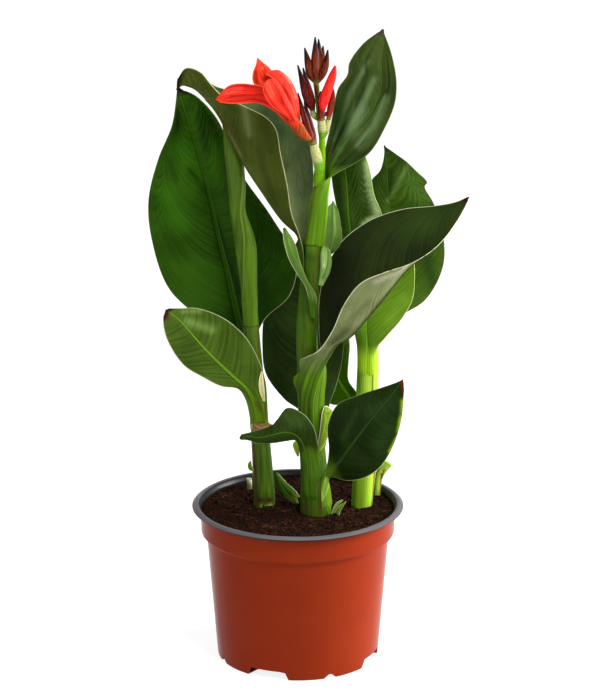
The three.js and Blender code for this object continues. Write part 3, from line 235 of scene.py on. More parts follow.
        (52.5, -0.3, 289.6, 61.5, -3.3, 287.7, 70.4, -1.3, 287.7, 0.15),
        (47.6, -12.2, 315.4, 60.5, -7.2, 310.5, 77.3, -5.2, 298.6, 0.05),
        (46.6, -14.2, 333.3, 62.5, -6.2, 330.3, 92.2, -4.3, 316.4, -0.04),
        (51.6, -13.2, 351.1, 68.4, -4.3, 348.1, 101.1, -2.3, 332.3, -0.06),
        (60.5, -10.2, 368.9, 77.3, -1.3, 367, 103.1, -0.3, 349.1, -0.06),
        (72.4, -5.2, 383.8, 86.2, 2.7, 381.8, 102.1, 1.7, 366, -0.05),
        (84.3, 0.7, 393.7, 91.2, 5.7, 392.7, 98.1, 4.7, 381.8, 0),
        (94.2, 6.6, 398.7, 95.2, 6.6, 400.7, 97.2, 6.6, 397.7, 0),
    ]),
    "rear_right_leaf": ("leaf_mid_green", -1, (1.2, 2, 0.1), [
        (54.5, 14.6, 262.9, 62.5, 17.5, 262.9, 70.4, 14.6, 262.9, -0.2),
        (55.5, 15.6, 290.6, 63.5, 18.5, 290.6, 70.4, 15.6, 290.6, -0.15),
        (57.5, 25.5, 314.4, 67.4, 23.5, 313.4, 89.2, 26.5, 307.5, -0.05),
        (55.5, 35.4, 345.2, 76.3, 31.4, 341.2, 114, 31.4, 323.3, 0.05),
        (57.5, 40.3, 375.9, 82.3, 37.4, 371.9, 128.9, 33.4, 352.1, 0.06),
        (60.5, 43.3, 400.7, 82.3, 39.4, 401.6, 129.9, 35.4, 376.9, 0.06),
        (63.5, 43.3, 418.5, 80.3, 39.4, 417.5, 120.9, 34.4, 409.6, 0.06),
        (64.9, 42.3, 426.4, 79.8, 38.9, 426.4, 112, 33.9, 425.9, 0.05),
        (65.9, 41.8, 430.9, 79.3, 38.4, 432.4, 114, 33.4, 429.9, 0.05),
        (72.4, 40.3, 438.3, 78.8, 37.4, 441.3, 104.6, 33.4, 440.3, 0.04),
        (75.3, 38.4, 447.2, 78.3, 36.4, 451.2, 95.2, 33.9, 449.7, 0.03),
        (76.3, 35.4, 457.2, 77.3, 34.9, 458.1, 85.3, 34.4, 456.5, 0.01),
        (75.8, 34.4, 462.1, 76.3, 34.4, 463.4, 77.8, 34.4, 461.6, 0),
    ]),
    "pleated_leaf": ("leaf_dark_green", -1, (1.5, 4, 0.3), [
        (54.5, 0.7, 302.5, 53, 8.6, 302.5, 56.5, 15.6, 302.5, -0.1),
        (51.6, 2.7, 324.3, 52.5, 9.6, 324.3, 58.5, 15.6, 324.3, -0.1),
        (45.6, 8.6, 346.1, 50.6, 11.6, 346.1, 59.5, 14.6, 346.1, -0.05),
        (41.6, 13.6, 366, 49.6, 12.6, 368.9, 61.5, 11.6, 367, 0.03),
        (37.7, 14.6, 384.8, 46.6, 12.6, 390.7, 68.4, 9.6, 383.8, 0.05),
        (34.7, 15.6, 409.6, 44.6, 12.6, 408.6, 73.4, 7.6, 406.6, 0.05),
        (30.7, 16.6, 429.4, 43.6, 13.6, 428.4, 67.4, 6.6, 424.4, 0.05),
        (28.8, 17.5, 449.2, 41.6, 15.6, 447.2, 63.5, 8.6, 445.3, 0.05),
        (27.8, 19.5, 470, 39.7, 18.5, 467.1, 56.5, 13.6, 464.1, 0.04),
        (33.7, 20.5, 486.9, 39.7, 20.5, 486.9, 47.6, 17.5, 482.9, 0.02),
        (39.7, 21.5, 495.8, 40.7, 21.5, 498.8, 42.6, 20.5, 495.8, 0),
    ]),
    "rear_inner_leaf": ("leaf_mid_green", -1, (0.5, 2, 0), [
        (52.5, 1.7, 203.4, 51.1, 9.6, 203.4, 54.5, 16.6, 203.4, -0.2),
        (49.6, 4.7, 221.3, 50.6, 11.6, 221.3, 54.5, 17.5, 221.3, -0.15),
        (42.6, 18.5, 228.2, 46.6, 19.5, 235.1, 53.5, 20, 238.1, -0.04),
        (30.7, 24.5, 227.2, 39.7, 23.5, 245, 45.6, 24.5, 250, 0.04),
        (19.8, 29.4, 233.2, 32.7, 27.5, 257.9, 45.6, 28.4, 265.9, 0.05),
        (13.9, 34.4, 249, 25.8, 32.4, 275.8, 46.6, 32.4, 281.7, 0.05),
        (10.9, 37.4, 274.8, 20.8, 36.4, 298.6, 42.6, 35.4, 301.5, 0.05),
        (11.9, 39.4, 301.5, 17.9, 39.4, 316.4, 31.7, 38.4, 319.4, 0.03),
        (15.9, 41.3, 326.3, 16.9, 41.3, 329.3, 19.8, 40.3, 326.3, 0),
    ]),
    "small_pale_leaf": ("leaf_bright_green", 1, (0, 1, 0), [
        (20.3, -19.1, 367.9, 17.9, -14.7, 367.9, 13.4, -12.7, 367.9, 0.05),
        (21.8, -17.1, 381.8, 27.3, -13.2, 380.8, 32.8, -9.2, 378.9, 0.05),
        (23.4, -16.2, 393.7, 30.9, -13.2, 393.7, 38.4, -10.2, 388.8, -0.05),
        (24.0, -14.2, 407.6, 31.0, -11.2, 407.6, 37.6, -9.2, 402.6, -0.05),
        (26.0, -12.2, 418.5, 30.7, -10.2, 418.5, 35.2, -9.2, 415.5, 0),
        (29.8, -10.2, 422.5, 30.7, -10.2, 424.4, 31.7, -10.2, 422.5, 0),
    ]),
}

# Bracts and torn ends of sheaths: the stem they stand on, their colours (dark, light, margin and point)
# and their cross-sections, as on the leaves
SCALES = {
    "left collar": ("left_stem", ("#5A2E1C", "#A48C54", "#DCD0A8", "#3A1A12"), [
        (-40, 3, 209.2, -31.9, -1.5, 208.8, -23.9, 3, 209.2, 0.1),
        (-40.9, 2, 212.3, -31.9, -3, 212.1, -23, 2, 212.3, 0.1),
        (-40.9, 1.5, 215.3, -32.8, -4, 215.2, -22.1, 1.5, 214.8, 0.1),
        (-39.1, 1.5, 217.7, -32.8, -3.5, 218.4, -25.7, 1, 217.3, 0),
    ]),
    "cream bract": ("left_stem", ("#A8A45C", "#CCC88C", "#E6E0B8", "#CCC88C"), [
        (-30.9, -4, 239.6, -30, -4, 238.6, -29.1, -4, 239.6, 0),
        (-34, -5, 249.2, -31.7, -5, 248.3, -29.5, -5, 249.2, 0.1),
        (-34.4, -5, 258.5, -32.6, -5, 258, -30.4, -5, 258.5, 0.1),
        (-32.6, -4, 266.5, -32, -4, 267.5, -31.3, -4, 266.5, 0),
    ]),
    "left curl": ("left_stem", ("#3C5A10", "#62841C", "#B4BC7C", "#6A7A2C"), [
        (-40.2, 2, 171.7, -39.7, 2, 170.8, -39.3, 2, 171.7, 0),
        (-43.8, 1, 173.9, -41.9, 0, 173.3, -40.2, 1, 173.9, 0.2),
        (-44.6, 1, 178.7, -43.3, 0, 178.1, -41.5, 1, 177.7, 0.2),
        (-42.8, 1, 181.5, -42.3, 1, 181.9, -41.6, 1, 181.1, 0),
    ]),
    "centre bract": ("centre_stem", ("#4C5E14", "#728A24", "#D8D8AC", "#A8A878"), [
        (17.1, -26, 200.1, 18.4, -26, 198.2, 19.7, -25, 199.8, 0),
        (18.4, -27, 210.7, 21.5, -27, 209.8, 25.5, -23, 209.4, 0.1),
        (20.1, -27, 224.6, 25, -26, 224.3, 30.3, -20, 223.3, 0.1),
        (21.4, -26, 235.9, 25.8, -24, 236.7, 31.2, -19, 233.7, 0.1),
        (23.2, -24, 240.8, 25, -23, 241.4, 27.6, -20, 238.6, 0),
    ]),
    "centre curl": ("centre_stem", ("#4C6C10", "#86A428", "#C4C88C", "#8A8A3C"), [
        (-0.7, -20, 193.4, 0.2, -20, 192.4, 1.1, -20, 193.4, 0),
        (-3.3, -20, 199.9, -0.7, -22, 199.7, 1.1, -21, 200.3, 0.15),
        (-4.2, -20, 204.6, -2, -22, 204.8, 0.2, -21, 205, 0.15),
        (-1.5, -20, 207.9, -0.7, -20.5, 208.5, 0.7, -20, 207.4, 0),
    ]),
    "sprig leaf": ("sprig", ("#5A7A24", "#94AC54", "#B8C484", "#8AA04C"), [
        (29.7, -20, 138.2, 30.3, -20, 138.1, 31, -20, 138.4, 0),
        (31.7, -21, 144.7, 32.7, -21.6, 144.9, 33.7, -21, 144.4, 0.1),
        (34.8, -21, 150, 36.1, -21.6, 150, 37.2, -21, 149.1, 0.1),
        (39.9, -21, 152.7, 40.4, -21, 152.3, 40.4, -21, 151.6, 0),
    ]),
    "sprig side leaf": ("sprig", ("#5A7A24", "#94AC54", "#B8C484", "#8AA04C"), [
        (32.2, -19, 139.3, 32.8, -19, 139.1, 33.3, -19, 139.3, 0),
        (35.1, -19, 144, 36, -19.5, 143.8, 36.9, -19, 143.4, 0.1),
        (38.1, -19, 147.3, 39.1, -19.4, 147, 39.7, -19, 145.9, 0.1),
        (40.4, -19, 148.9, 40.8, -19, 148.5, 40.9, -19, 148, 0),
    ]),
}

SPROUT_FOOT = [(-3.9, 11.6, 122.1, 4), (-3.9, 11.6, 140, 4.2), (-6.9, 12.6, 143.9, 2.5)]
SPROUT = [
    (-10.9, 12.6, 142.5, -4.9, 10.6, 142.5, 2, 13.6, 142.5, 0.2),
    (-16.8, 14.6, 147.9, -10.9, 11.6, 147.9, -2, 15.6, 147.9, 0.15),
    (-20.8, 16.6, 154.8, -15.8, 14.6, 155.8, -9.9, 17.5, 154.8, 0.1),
    (-22.8, 17.5, 161.8, -19.8, 17.5, 165.8, -16.8, 18.5, 162.8, 0),
]
SMALL_SHOOTS = {
    "axillary_bud": [
        (19.8, -23.1, 352.1, 2.5), (23.8, -24.1, 367.9, 4.8), (23.6, -24.1, 380.8, 4.6),
        (22.6, -24.1, 391.7, 0.8),
    ],
    "cut_stub": [(71.5, 38, 122, 3.3), (71.5, 38, 139, 3.6), (74, 39, 155, 3.8), (82, 40, 167, 4.4)],
    "short_stub": [(-44.5, 54, 122, 2.2), (-44.5, 54, 139, 2.4), (-44.8, 53, 147, 2.2)],
    "sprig": [
        (35.7, -19.1, 124.1, 1.6), (35.7, -19.1, 138, 1.7), (38.7, -21.1, 145.9, 1.5),
        (42.6, -22.1, 150.9, 0.6),
    ],
}

RACHIS = [
    (18.9, -22.1, 440.5, 5), (18.8, -22.1, 452.2, 4.8), (20.8, -22.1, 467.1, 3.2),
    (20.8, -21.1, 482.9, 2.6), (18.8, -21.1, 500.8, 2.4), (16.9, -21.1, 518.6, 2.2),
    (15.9, -21.1, 530.5, 2.6),
]
OVARIES = [
    [(18.8, -23.1, 451.2, 4), (17.4, -26.1, 462.1, 4.4), (14.9, -30, 473, 4.2), (13.4, -31, 479, 3.2)],
    [(20.8, -22.1, 482.9, 2.6), (20.8, -23.1, 490.9, 4), (20.3, -24.1, 498.8, 3.4)],
    [(21.8, -21.1, 482.9, 2), (24.8, -22.1, 490.9, 2.6), (26.3, -23.1, 498.8, 2.2)],
    [(17.9, -21.1, 498.8, 2), (13.9, -22.1, 502.7, 2.6), (12.4, -22.1, 506.7, 2.2)],
]
BUDS = {
    "top_buds": [
        [
            (15.9, -21.1, 531.5, 2), (14.9, -23.1, 540.4, 3.3), (14.9, -24.1, 552.3, 3.4),
            (14.9, -26.1, 571.1, 0.4),
        ],
        [
            (16.9, -20.1, 531.5, 2), (17.9, -20.1, 540.4, 3.3), (18.4, -20.1, 551.3, 3.3),
            (17.9, -20.1, 568.2, 0.4),
        ],
        [(14.9, -21.1, 531.5, 2), (10.9, -23.1, 538.4, 3.4), (8.9, -25.1, 548.3, 3), (6, -28, 562.2, 0.4)],
        [
            (16.9, -21.1, 531.5, 2), (20.8, -21.1, 538.4, 3.2), (23.8, -21.1, 546.4, 2.8),
            (25.8, -22.1, 559.2, 0.4),
        ],
        [
            (16.9, -20.1, 531.5, 2), (19.3, -17.1, 539.4, 3), (20.8, -15.2, 548.3, 2.7),
            (21.8, -14.2, 561.2, 0.4),
        ],
    ],
    "side_buds": [
        [(12.4, -22.1, 507.2, 2), (8.9, -27.1, 516.6, 3.3), (6, -30, 526.5, 3.4), (0, -33, 548.3, 0.4)],
        [(12.9, -22.1, 507.2, 2), (11.4, -26.1, 516.6, 3.2), (8.9, -28, 526.5, 3), (4.5, -30, 545.4, 0.4)],
    ],
    "bloom_sepals": [
        [(12.9, -31, 479.5, 2.6), (8.9, -34, 490.9, 3.2), (5, -35, 504.7, 2.6), (0, -35, 524.6, 0.4)],
        [
            (13.9, -30.5, 479.5, 2.6), (11.9, -29, 488.9, 3), (8.4, -29.5, 502.7, 2.4),
            (5.5, -30, 516.6, 0.4),
        ],
    ],
    "opening_bud_sepals": [
        [
            (20.3, -24.1, 499.3, 2.8), (19.8, -26.1, 506.7, 2.8), (18.8, -27.1, 516.6, 2),
            (19.8, -28, 524.6, 0.4),
        ],
        [
            (26.3, -23.1, 499.3, 2), (27.8, -23.1, 508.7, 2.6), (29.8, -24.1, 518.6, 2.2),
            (29.8, -25.1, 528.5, 0.4),
        ],
        [(19.3, -25.1, 502.7, 1.8), (23.8, -23.6, 503.7, 1.8), (27.3, -23.1, 504.7, 1.8)],
    ],
}
OPENING_PETAL = [
    (20.8, -28, 507.7, 2.4), (22, -30, 516.6, 4.2), (26, -30.5, 528.5, 3.9), (30.2, -31, 540.4, 2.8),
    (32.1, -31, 547.3, 0.7),
]
PETALS = [
    [
        (1, -35, 498.8, 1, -37, 494.8, 2, -35, 489.9, 0.1),
        (-7.9, -39.9, 513.6, -6.9, -39.9, 506.7, -6.9, -37, 496.8, 0.2),
        (-17.8, -42.9, 526.5, -17.8, -40.9, 518.6, -19.8, -36, 508.7, 0.2),
        (-30.7, -44.9, 532.5, -31.7, -41.9, 524.6, -31.7, -36, 515.6, 0.2),
        (-45.6, -44.9, 534.5, -48.5, -41.9, 525.5, -47.6, -37, 515.6, 0.18),
        (-58.5, -43.9, 532.5, -61.4, -40.9, 523.6, -61.4, -38.9, 516.6, 0.1),
        (-66.4, -40.9, 524.6, -69.4, -40.9, 520.6, -66.4, -39.9, 517.6, 0),
    ],
    [
        (-1, -34, 498.8, 0.5, -33.5, 496.8, 2, -33, 494.8, 0.1),
        (-10.9, -33, 515.6, -6.9, -31, 514.6, -3, -29, 513.6, 0.15),
        (-27.7, -33, 524.6, -18.8, -30, 528.5, -9.9, -28, 526.5, 0.15),
        (-37.6, -31, 532.5, -27.7, -29, 537.4, -18.8, -27.1, 536.4, 0.15),
        (-38.1, -30, 541.4, -30.7, -28.5, 545.4, -22.8, -27.1, 542.9, 0.1),
        (-35.7, -29, 547.3, -31.7, -28, 549.3, -27.7, -27.1, 547.8, 0.05),
        (-34.7, -28, 552.3, -34.2, -28, 553.8, -33.2, -28, 552.3, 0),
    ],
    [
        (-2, -38.9, 495.8, 0, -38, 493.8, 2, -37, 491.8, 0.1),
        (-10.9, -46.9, 507.7, -6.9, -45.9, 507.7, -2, -42.9, 505.7, 0.15),
        (-22.8, -51.8, 517.6, -15.8, -49.9, 520.6, -8.9, -46.9, 521.6, 0.15),
        (-29.2, -52.8, 529.5, -22.8, -51.8, 535.5, -15.8, -49.9, 535.5, 0.1),
        (-27.7, -52.8, 537.4, -24.3, -52.8, 540.4, -20.8, -51.8, 539.9, 0),
    ],
    [
        (0, -37, 495.8, 2, -35, 493.8, 3.5, -33, 495.8, 0.1),
        (-4.4, -41.9, 510.7, -1, -38.9, 510.7, 1, -34, 511.7, 0.2),
        (-10.4, -42.9, 523.6, -3.9, -39.9, 524.6, -1, -34, 523.6, 0.22),
        (-16.8, -41.9, 533.5, -11.4, -38, 536.4, -6.9, -33, 536.4, 0.2),
        (-21.8, -38.9, 538.4, -18.8, -35, 542.4, -14.8, -32, 542.9, 0.1),
        (-26.7, -35, 540.4, -26.7, -34, 542.4, -24.8, -33, 543.4, 0),
    ],
]
THROAT = [(10.9, -35, 483.9, 1.8), (5, -37, 488.9, 4.2), (0, -38, 495.8, 5), (-5.9, -39.9, 504.7, 3.5)]


# ---------------------------------------------------------------- looks of each leaf
# face and under: the darker and lighter tones of the upper face and of the underside; rib: midrib;
# foot: sheath, dark and light; edge: margin; tip: withered point; sheath: share of the length that is
# sheath; veins: share of the blade that a side vein climbs on its way to the margin, at the foot and at
# the tip, and how sharply it turns up; pleat: depth of the folds in mm at the foot and at the tip; folds:
# kind of folds, along the side veins or long ones; margins: how pale the left and right margins are;
# rib_wide: half the midrib's width at the foot; sink: the way the sheath's foot presses on its stem, along
# the face or against it; fold_shade: how dark the painted shade in the hollows of the folds is. A patch
# is a colour and the places it lies along: reach in mm, strength and the points of a line. Brown, buff and
# cream patches are stains and withered or pale margins; lighter greens are painted highlights and sheen,
# and darker greens painted shade.
LEAF_LOOKS = {
    "left_broad_leaf": {
        "face": ("#1B3802", "#2B5006"), "under": ("#44682C", "#5F8F3C"), "rib": "#325810",
        "foot": ("#3A5A08", "#5C7E14"), "edge": "#B9BE8C", "tip": "#1A100A", "sheath": 0.27,
        "veins": (0.15, 0.9, 1.5), "pleat": (0.25, 0.9), "margins": (0.1, 0.8), "rib_wide": 3.8, "sink": 1,
        "fold_shade": 0.45,
        # Patches: the lighter greens are painted highlights, the darker greens painted shade along the midrib
        # and in the creases
        "patches": [
            ("#386E0A", (11, 0.5, (-99.9, 29.7, 463.8), (-86.3, 35.1, 433.7)),
                (8, 0.4, (-74.4, 29, 464), (-72.1, 31.5, 432.8)),
                (9, 0.35, (-117.8, 26.9, 424.8), (-104.2, 28.9, 392.5)),
                (8, 0.35, (-88.9, 26.2, 495), (-96.3, 30.5, 476.2))),
            ("#122C04", (4, 0.6, (-86.3, 27.4, 494.8), (-79.7, 29.7, 460.2)),
                (3.5, 0.6, (-94.9, 31.9, 441.7), (-81.1, 36, 420.8)),
                (3.5, 0.8, (-72.5, 35.8, 395.3), (-52.3, 26.8, 331.6)),
                (3, 0.4, (-112.2, 27.7, 451.7), (-107.2, 28.1, 433.6))),
        ],
    },
    "left_small_leaf": {
        "face": ("#2E420D", "#48601A"), "under": ("#506838", "#6F8F50"), "rib": "#5E8A1C",
        "foot": ("#3E5C08", "#628814"), "edge": "#C4C69A", "tip": "#2A1810", "sheath": 0.3,
        "veins": (0.25, 0.5, 1.2), "pleat": (0.4, 0.6), "margins": (0.9, 0.6), "rib_wide": 2, "sink": -1,
        # Patches: brown stains at the foot and the withered tip, and a painted highlight in the pale green
        "patches": [
            ("#4A2A14", (1.3, 0.9, (-29.2, -0.2, 237.4), (-28.3, 0.5, 220.3)),
                (2.5, 0.5, (-36.3, -2.6, 237.2), (-32.7, -1.8, 230.4))),
            ("#4A301E", (3, 0.9, (-114.6, -34.1, 332.3), (-113.8, -34.4, 325.1))),
            ("#7A9A4C", (4, 0.45, (-95.9, -26.3, 320.1), (-75.3, -17.9, 309.4)),
                (2.5, 0.4, (-100.1, -28.2, 328.8), (-85.5, -21.6, 327.8))),
        ],
    },
    "low_curled_leaf": {
        "face": ("#1C2C06", "#2D4013"), "under": ("#34501C", "#4C6C30"), "rib": "#3E6016",
        "foot": ("#2C4A0C", "#4C7014"), "edge": "#98A070", "tip": "#24340E", "sheath": 0.4,
        "veins": (0.3, 0.6, 1.4), "pleat": (0.2, 0.3), "margins": (0.3, 0.7), "rib_wide": 1.8, "sink": -1,
        # Patches: painted shade in the darkest green, painted highlights in the two lighter greens
        "patches": [
            ("#1C2E0C", (4, 0.4, (-24.4, -41.7, 214.7), (-5, -41.3, 218.2))),
            ("#3E5226", (5, 0.35, (-12.9, -44.8, 240.6), (2, -44.8, 231.4))),
            ("#52701A", (4, 0.5, (10, -32.4, 203.2), (12.7, -25.3, 177.4))),
        ],
    },
    "low_right_leaf": {
        "face": ("#121F04", "#1E300B"), "under": ("#5A8244", "#6F9A54"), "rib": "#2A4417",
        "foot": ("#3E5C0E", "#6A8A1E"), "edge": "#B4C07C", "tip": "#5A1C10", "sheath": 0.3,
        "veins": (0.35, 0.6, 1.4), "pleat": (0.3, 0.4), "margins": (0.25, 0.9), "rib_wide": 2.4, "sink": -1,
        # Patches: painted highlights in the yellow-green and pale lines and the lighter greens, painted shade
        # in the darkest green
        "patches": [
            ("#7E9E14", (1.7, 1, (90.9, -65.5, 259.1), (90.6, -65.4, 249.1)),
                (1.5, 1, (89.7, -65.2, 245.4), (87.3, -63.3, 230.1)),
                (1.1, 0.9, (86.5, -62.5, 226.2), (79.8, -58.3, 210.1))),
            ("#28421A", (8, 0.35, (64.7, -56.9, 246.4), (81.9, -62.9, 257.4)),
                (7, 0.35, (70.2, -56.8, 215.1), (80.4, -61.9, 231.5))),
            ("#0C1806", (7, 0.6, (35.3, -47.5, 232.3), (33.7, -38.9, 205.4)),
                (4, 0.5, (47.6, -47, 217.4), (65.1, -53.7, 205.8))),
            ("#335020", (3, 0.25, (39.7, -46.1, 218.9), (50.8, -54, 245.4))),
            ("#9AB44C", (1.4, 0.8, (21.6, -24.2, 157.2), (25.1, -24.7, 174.3)),
                (1.2, 0.7, (21.6, -24.3, 153.5), (27.9, -17.5, 166.4))),
        ],
    },
    "boat_leaf": {
        "face": ("#19210E", "#2B3714"), "under": ("#555E3A", "#7D8658"), "rib": "#28380F",
        "foot": ("#304A08", "#567A14"), "edge": "#CDD0A6", "tip": "#30140C", "sheath": 0.33,
        "veins": (0.55, 0.75, 1.3), "pleat": (0.35, 0.35), "margins": (0.8, 0.9), "sink": 1,
        # Patches: a painted highlight towards the tip, painted shade in the two darker ones; the pinkish
        # cream is the pale margin
        "patches": [
            ("#344A1A", (18, 0.6, (97, -33, 405.6), (122.2, -44.7, 421), (135.3, -53.9, 432))),
            ("#171B0F", (16, 0.8, (33.5, -11.2, 369.4), (35.2, -23.4, 333.8))),
            ("#D2C6B4", (3, 0.55, (91.2, -58.6, 376.7), (96.1, -64.8, 381.9)),
                (4, 0.3, (67.2, -61.1, 365.8), (87.9, -57.4, 373.7))),
            ("#3E4626", (7, 0.8, (30.7, -44, 306.2), (40.2, -47.3, 316.2)),
                (3, 0.35, (47, -50.6, 329.8), (60.7, -52.9, 344.8))),
        ],
    },
    "small_clasping_leaf": {
        "face": ("#234317", "#3B6425"), "under": ("#455F25", "#668739"), "rib": "#4E7228",
        "foot": ("#2C480C", "#446414"), "edge": "#B8C488", "tip": "#1E140C", "sheath": 0.2,
        "veins": (0.7, 0.8, 1.2), "pleat": (0.15, 0.15), "margins": (0.9, 0.5), "rib_wide": 1,
    },
    "arching_leaf": {
        # The face's grey-green has painted sheen in it
        "face": ("#405228", "#647346"), "under": ("#313D0D", "#49521C"), "rib": "#3C4614",
        "foot": ("#2C420C", "#4A6416"), "edge": "#B8B682", "tip": "#1A140A", "sheath": 0.16,
        "veins": (0.85, 0.85, 1.1), "pleat": (0.3, 0.4), "margins": (0.5, 0.8),
        # Patches: a painted highlight, painted shade in the dark greens, painted sheen in the grey-green; the
        # brown and the buff are the margin's own colour
        "patches": [
            ("#7C8C56", (3.4, 0.4, (-46, -20.4, 510.2), (-44.4, -17.4, 500.8), (-41.9, -15.6, 484.6))),
            ("#232C08", (4, 0.4, (-55.7, -12, 494.4), (-44.8, -9.3, 460.2)),
                (3.5, 0.4, (-30.6, -19.8, 499.6), (-23.8, -19.9, 471.5)),
                (4, 0.35, (-34.2, -16.7, 470.8), (-20.5, -16.8, 426.5))),
            ("#46200F", (2, 1, (-66.2, -6.8, 494.2), (-61.9, -7.3, 488.1))),
            ("#8A7A5C", (1, 0.5, (-61.1, -7.3, 486.3), (-49.1, -8.1, 463.5))),
            ("#1E3A22", (7, 0.6, (-29.3, 9.6, 498.6), (-14.5, 11.8, 480.3)),
                (3, 0.5, (-9.3, 8.1, 451.8), (-7.5, -26, 430.5))),
            ("#4E6444", (7, 0.4, (0.3, 13.2, 464), (3.7, 3, 426.1))),
        ],
    },
    "top_leaf": {
        "face": ("#22330D", "#3D4C1D"), "under": ("#5A7838", "#7C9A5C"), "rib": "#3C5A1C",
        "foot": ("#446A0C", "#5E861A"), "edge": "#8A8C58", "tip": "#3C2A24", "sheath": 0.34,
        "veins": (0.8, 0.8, 1.15), "pleat": (1.1, 0.8), "margins": (0.5, 0.35), "folds": "long",
        "fold_shade": 0.55,
        # Patches: painted highlights and sheen along the long folds, painted shade in the dark greens; the
        # brown is the sheath's margin
        "patches": [
            ("#6E8A5C", (3, 0.45, (36.5, -19.7, 471.5), (48.4, -17.3, 497.3), (65.6, -6.6, 530.1)),
                (3, 0.45, (51.9, -20.6, 475.2), (65.6, -17.8, 492.2), (75.9, -11.5, 515.4)),
                (2, 0.35, (31.3, -18.7, 480.1), (44.9, -13.1, 519.2), (60.5, -2.1, 544.9))),
            ("#5E7450", (6, 0.5, (46.7, -18.1, 487), (55.3, -15, 503.8))),
            ("#0F2008", (1.2, 0.7, (30.4, -19.2, 469.6), (42.4, -16.8, 502.5), (57.9, -6.2, 533.5)),
                (1.2, 0.7, (36.5, -21.2, 464.8), (58.8, -14.7, 496.7), (75.9, -9.4, 521.9)),
                (2, 0.5, (29.6, -21.8, 457.8), (46.8, -21.5, 461.3), (64, -21.7, 473.7))),
            ("#1A300C", (8, 0.7, (38.2, -19.2, 478.4), (34.7, -15.3, 507.4)),
                (4, 0.5, (36.5, -22.2, 459.7), (50.2, -22.2, 466.7))),
            ("#4E3A1A", (1.6, 0.8, (14.5, -26.8, 437.8), (7.2, -24.6, 394.5))),
            ("#1C2C08", (1.1, 0.9, (6.8, -25.5, 388.3), (11.6, -29.4, 388.1), (18.5, -28.5, 388.4))),
        ],
    },
    "rear_dark_leaf": {
        "face": ("#213110", "#364A1A"), "under": ("#35502A", "#4A6A34"), "rib": "#2C4A1C",
        "foot": ("#30480E", "#3C5A1C"), "edge": "#8A946C", "tip": "#16140A", "sheath": 0.22,
        "veins": (0.3, 0.7, 1.4), "pleat": (0.3, 0.4), "margins": (0.4, 0.8), "sink": 1,
    },
    "bright_leaf": {
        "face": ("#446811", "#64861C"), "under": ("#6A9A3A", "#7FAE4C"), "rib": "#6E9E1E",
        "foot": ("#80A618", "#9ABE28"), "edge": "#C6DC86", "tip": "#3C6A1A", "sheath": 0.16,
        "veins": (0.3, 0.7, 1.4), "pleat": (0.2, 0.3), "margins": (0.2, 0.9), "sink": -1, "rib_wide": 1.2,
        # Patches: painted shade in the darker green, a painted highlight in the lighter one
        "patches": [
            ("#3E6A10", (5, 0.35, (56.6, -9.9, 314.4), (62, -5.8, 298.5)),
                (5, 0.35, (72.3, -3.7, 341.9), (88.2, 0.3, 353.6))),
            ("#7CA834", (6, 0.3, (83.1, -5.1, 316.7), (91.8, -2, 332.3))),
        ],
    },
    "rear_right_leaf": {
        "face": ("#23390A", "#425D17"), "under": ("#58803C", "#6F9A50"), "rib": "#3E6A1C",
        "foot": ("#4C780C", "#76A01C"), "edge": "#5A4A30", "tip": "#1A140A", "sheath": 0.2,
        "veins": (0.4, 0.8, 1.3), "pleat": (0.4, 0.5), "fold_shade": 0.18, "margins": (0.5, 0.6), "sink": 1,
        "rib_wide": 1.2,
        # Patches: a painted highlight along a fold, painted sheen on the right lobe, painted shade in the
        # dark green
        "patches": [
            ("#869E62", (2.2, 0.3, (98, 32.9, 446.9), (89.5, 36, 429.9), (80, 39.2, 412.7))),
            ("#4E7428", (9, 0.45, (100.8, 33.6, 434.1), (108.1, 33.8, 417.7))),
            ("#14280A", (3, 0.6, (82.3, 36.1, 438.9), (80, 39.2, 416.4)),
                (6, 0.5, (112.2, 32.3, 368.8), (121.4, 31.5, 336.7))),
        ],
    },
    "pleated_leaf": {
        "face": ("#1C3206", "#375014"), "under": ("#7C945C", "#9AB47C"), "rib": "#44720F",
        "foot": ("#3A5E0C", "#5A8A20"), "edge": "#A6B67C", "tip": "#1A140A", "sheath": 0.26,
        "veins": (0.6, 0.8, 1.2), "pleat": (0.8, 1), "margins": (0.2, 0.8), "rib_wide": 1.6,
        # Patches: painted sheen on the pale folded-over margin, painted light in the mid green, painted shade
        # in the dark green
        "patches": [
            ("#94AC6E", (4, 1, (61.4, 11.1, 452.2), (63.1, 5.8, 433.5)),
                (4, 1, (64, 5.7, 429.9), (69.5, 7.8, 410.5)),
                (2.5, 0.9, (70.4, 8.4, 407.7), (57.3, 8.5, 398.6))),
            ("#3E5A22", (3, 0.5, (52.7, 12.4, 455.2), (56.3, 8.1, 420.4)),
                (3, 0.5, (47.7, 11.3, 406), (53, 10, 391))),
            ("#16280A", (4, 0.5, (34.4, 15.1, 436.7), (38, 13.4, 399.2))),
        ],
    },
    "rear_inner_leaf": {
        "face": ("#395D06", "#537D08"), "under": ("#4E7A34", "#5F8F44"), "rib": "#6A9A1E",
        "foot": ("#4A780E", "#6AA01C"), "edge": "#98A878", "tip": "#1A140A", "sheath": 0.18,
        "veins": (0.3, 0.7, 1.4), "pleat": (0.3, 0.3), "margins": (0.2, 0.8),
    },
    "small_pale_leaf": {
        "face": ("#445F27", "#587734"), "under": ("#476227", "#5E7C36"), "rib": "#5E8238",
        "foot": ("#3E5A22", "#54742E"), "edge": "#8AA464", "tip": "#4C6A2C", "sheath": 0.12,
        "veins": (0.85, 0.85, 1.1), "pleat": (0.15, 0.15), "margins": (0.4, 0.4), "rib_wide": 0.8,
    },
}


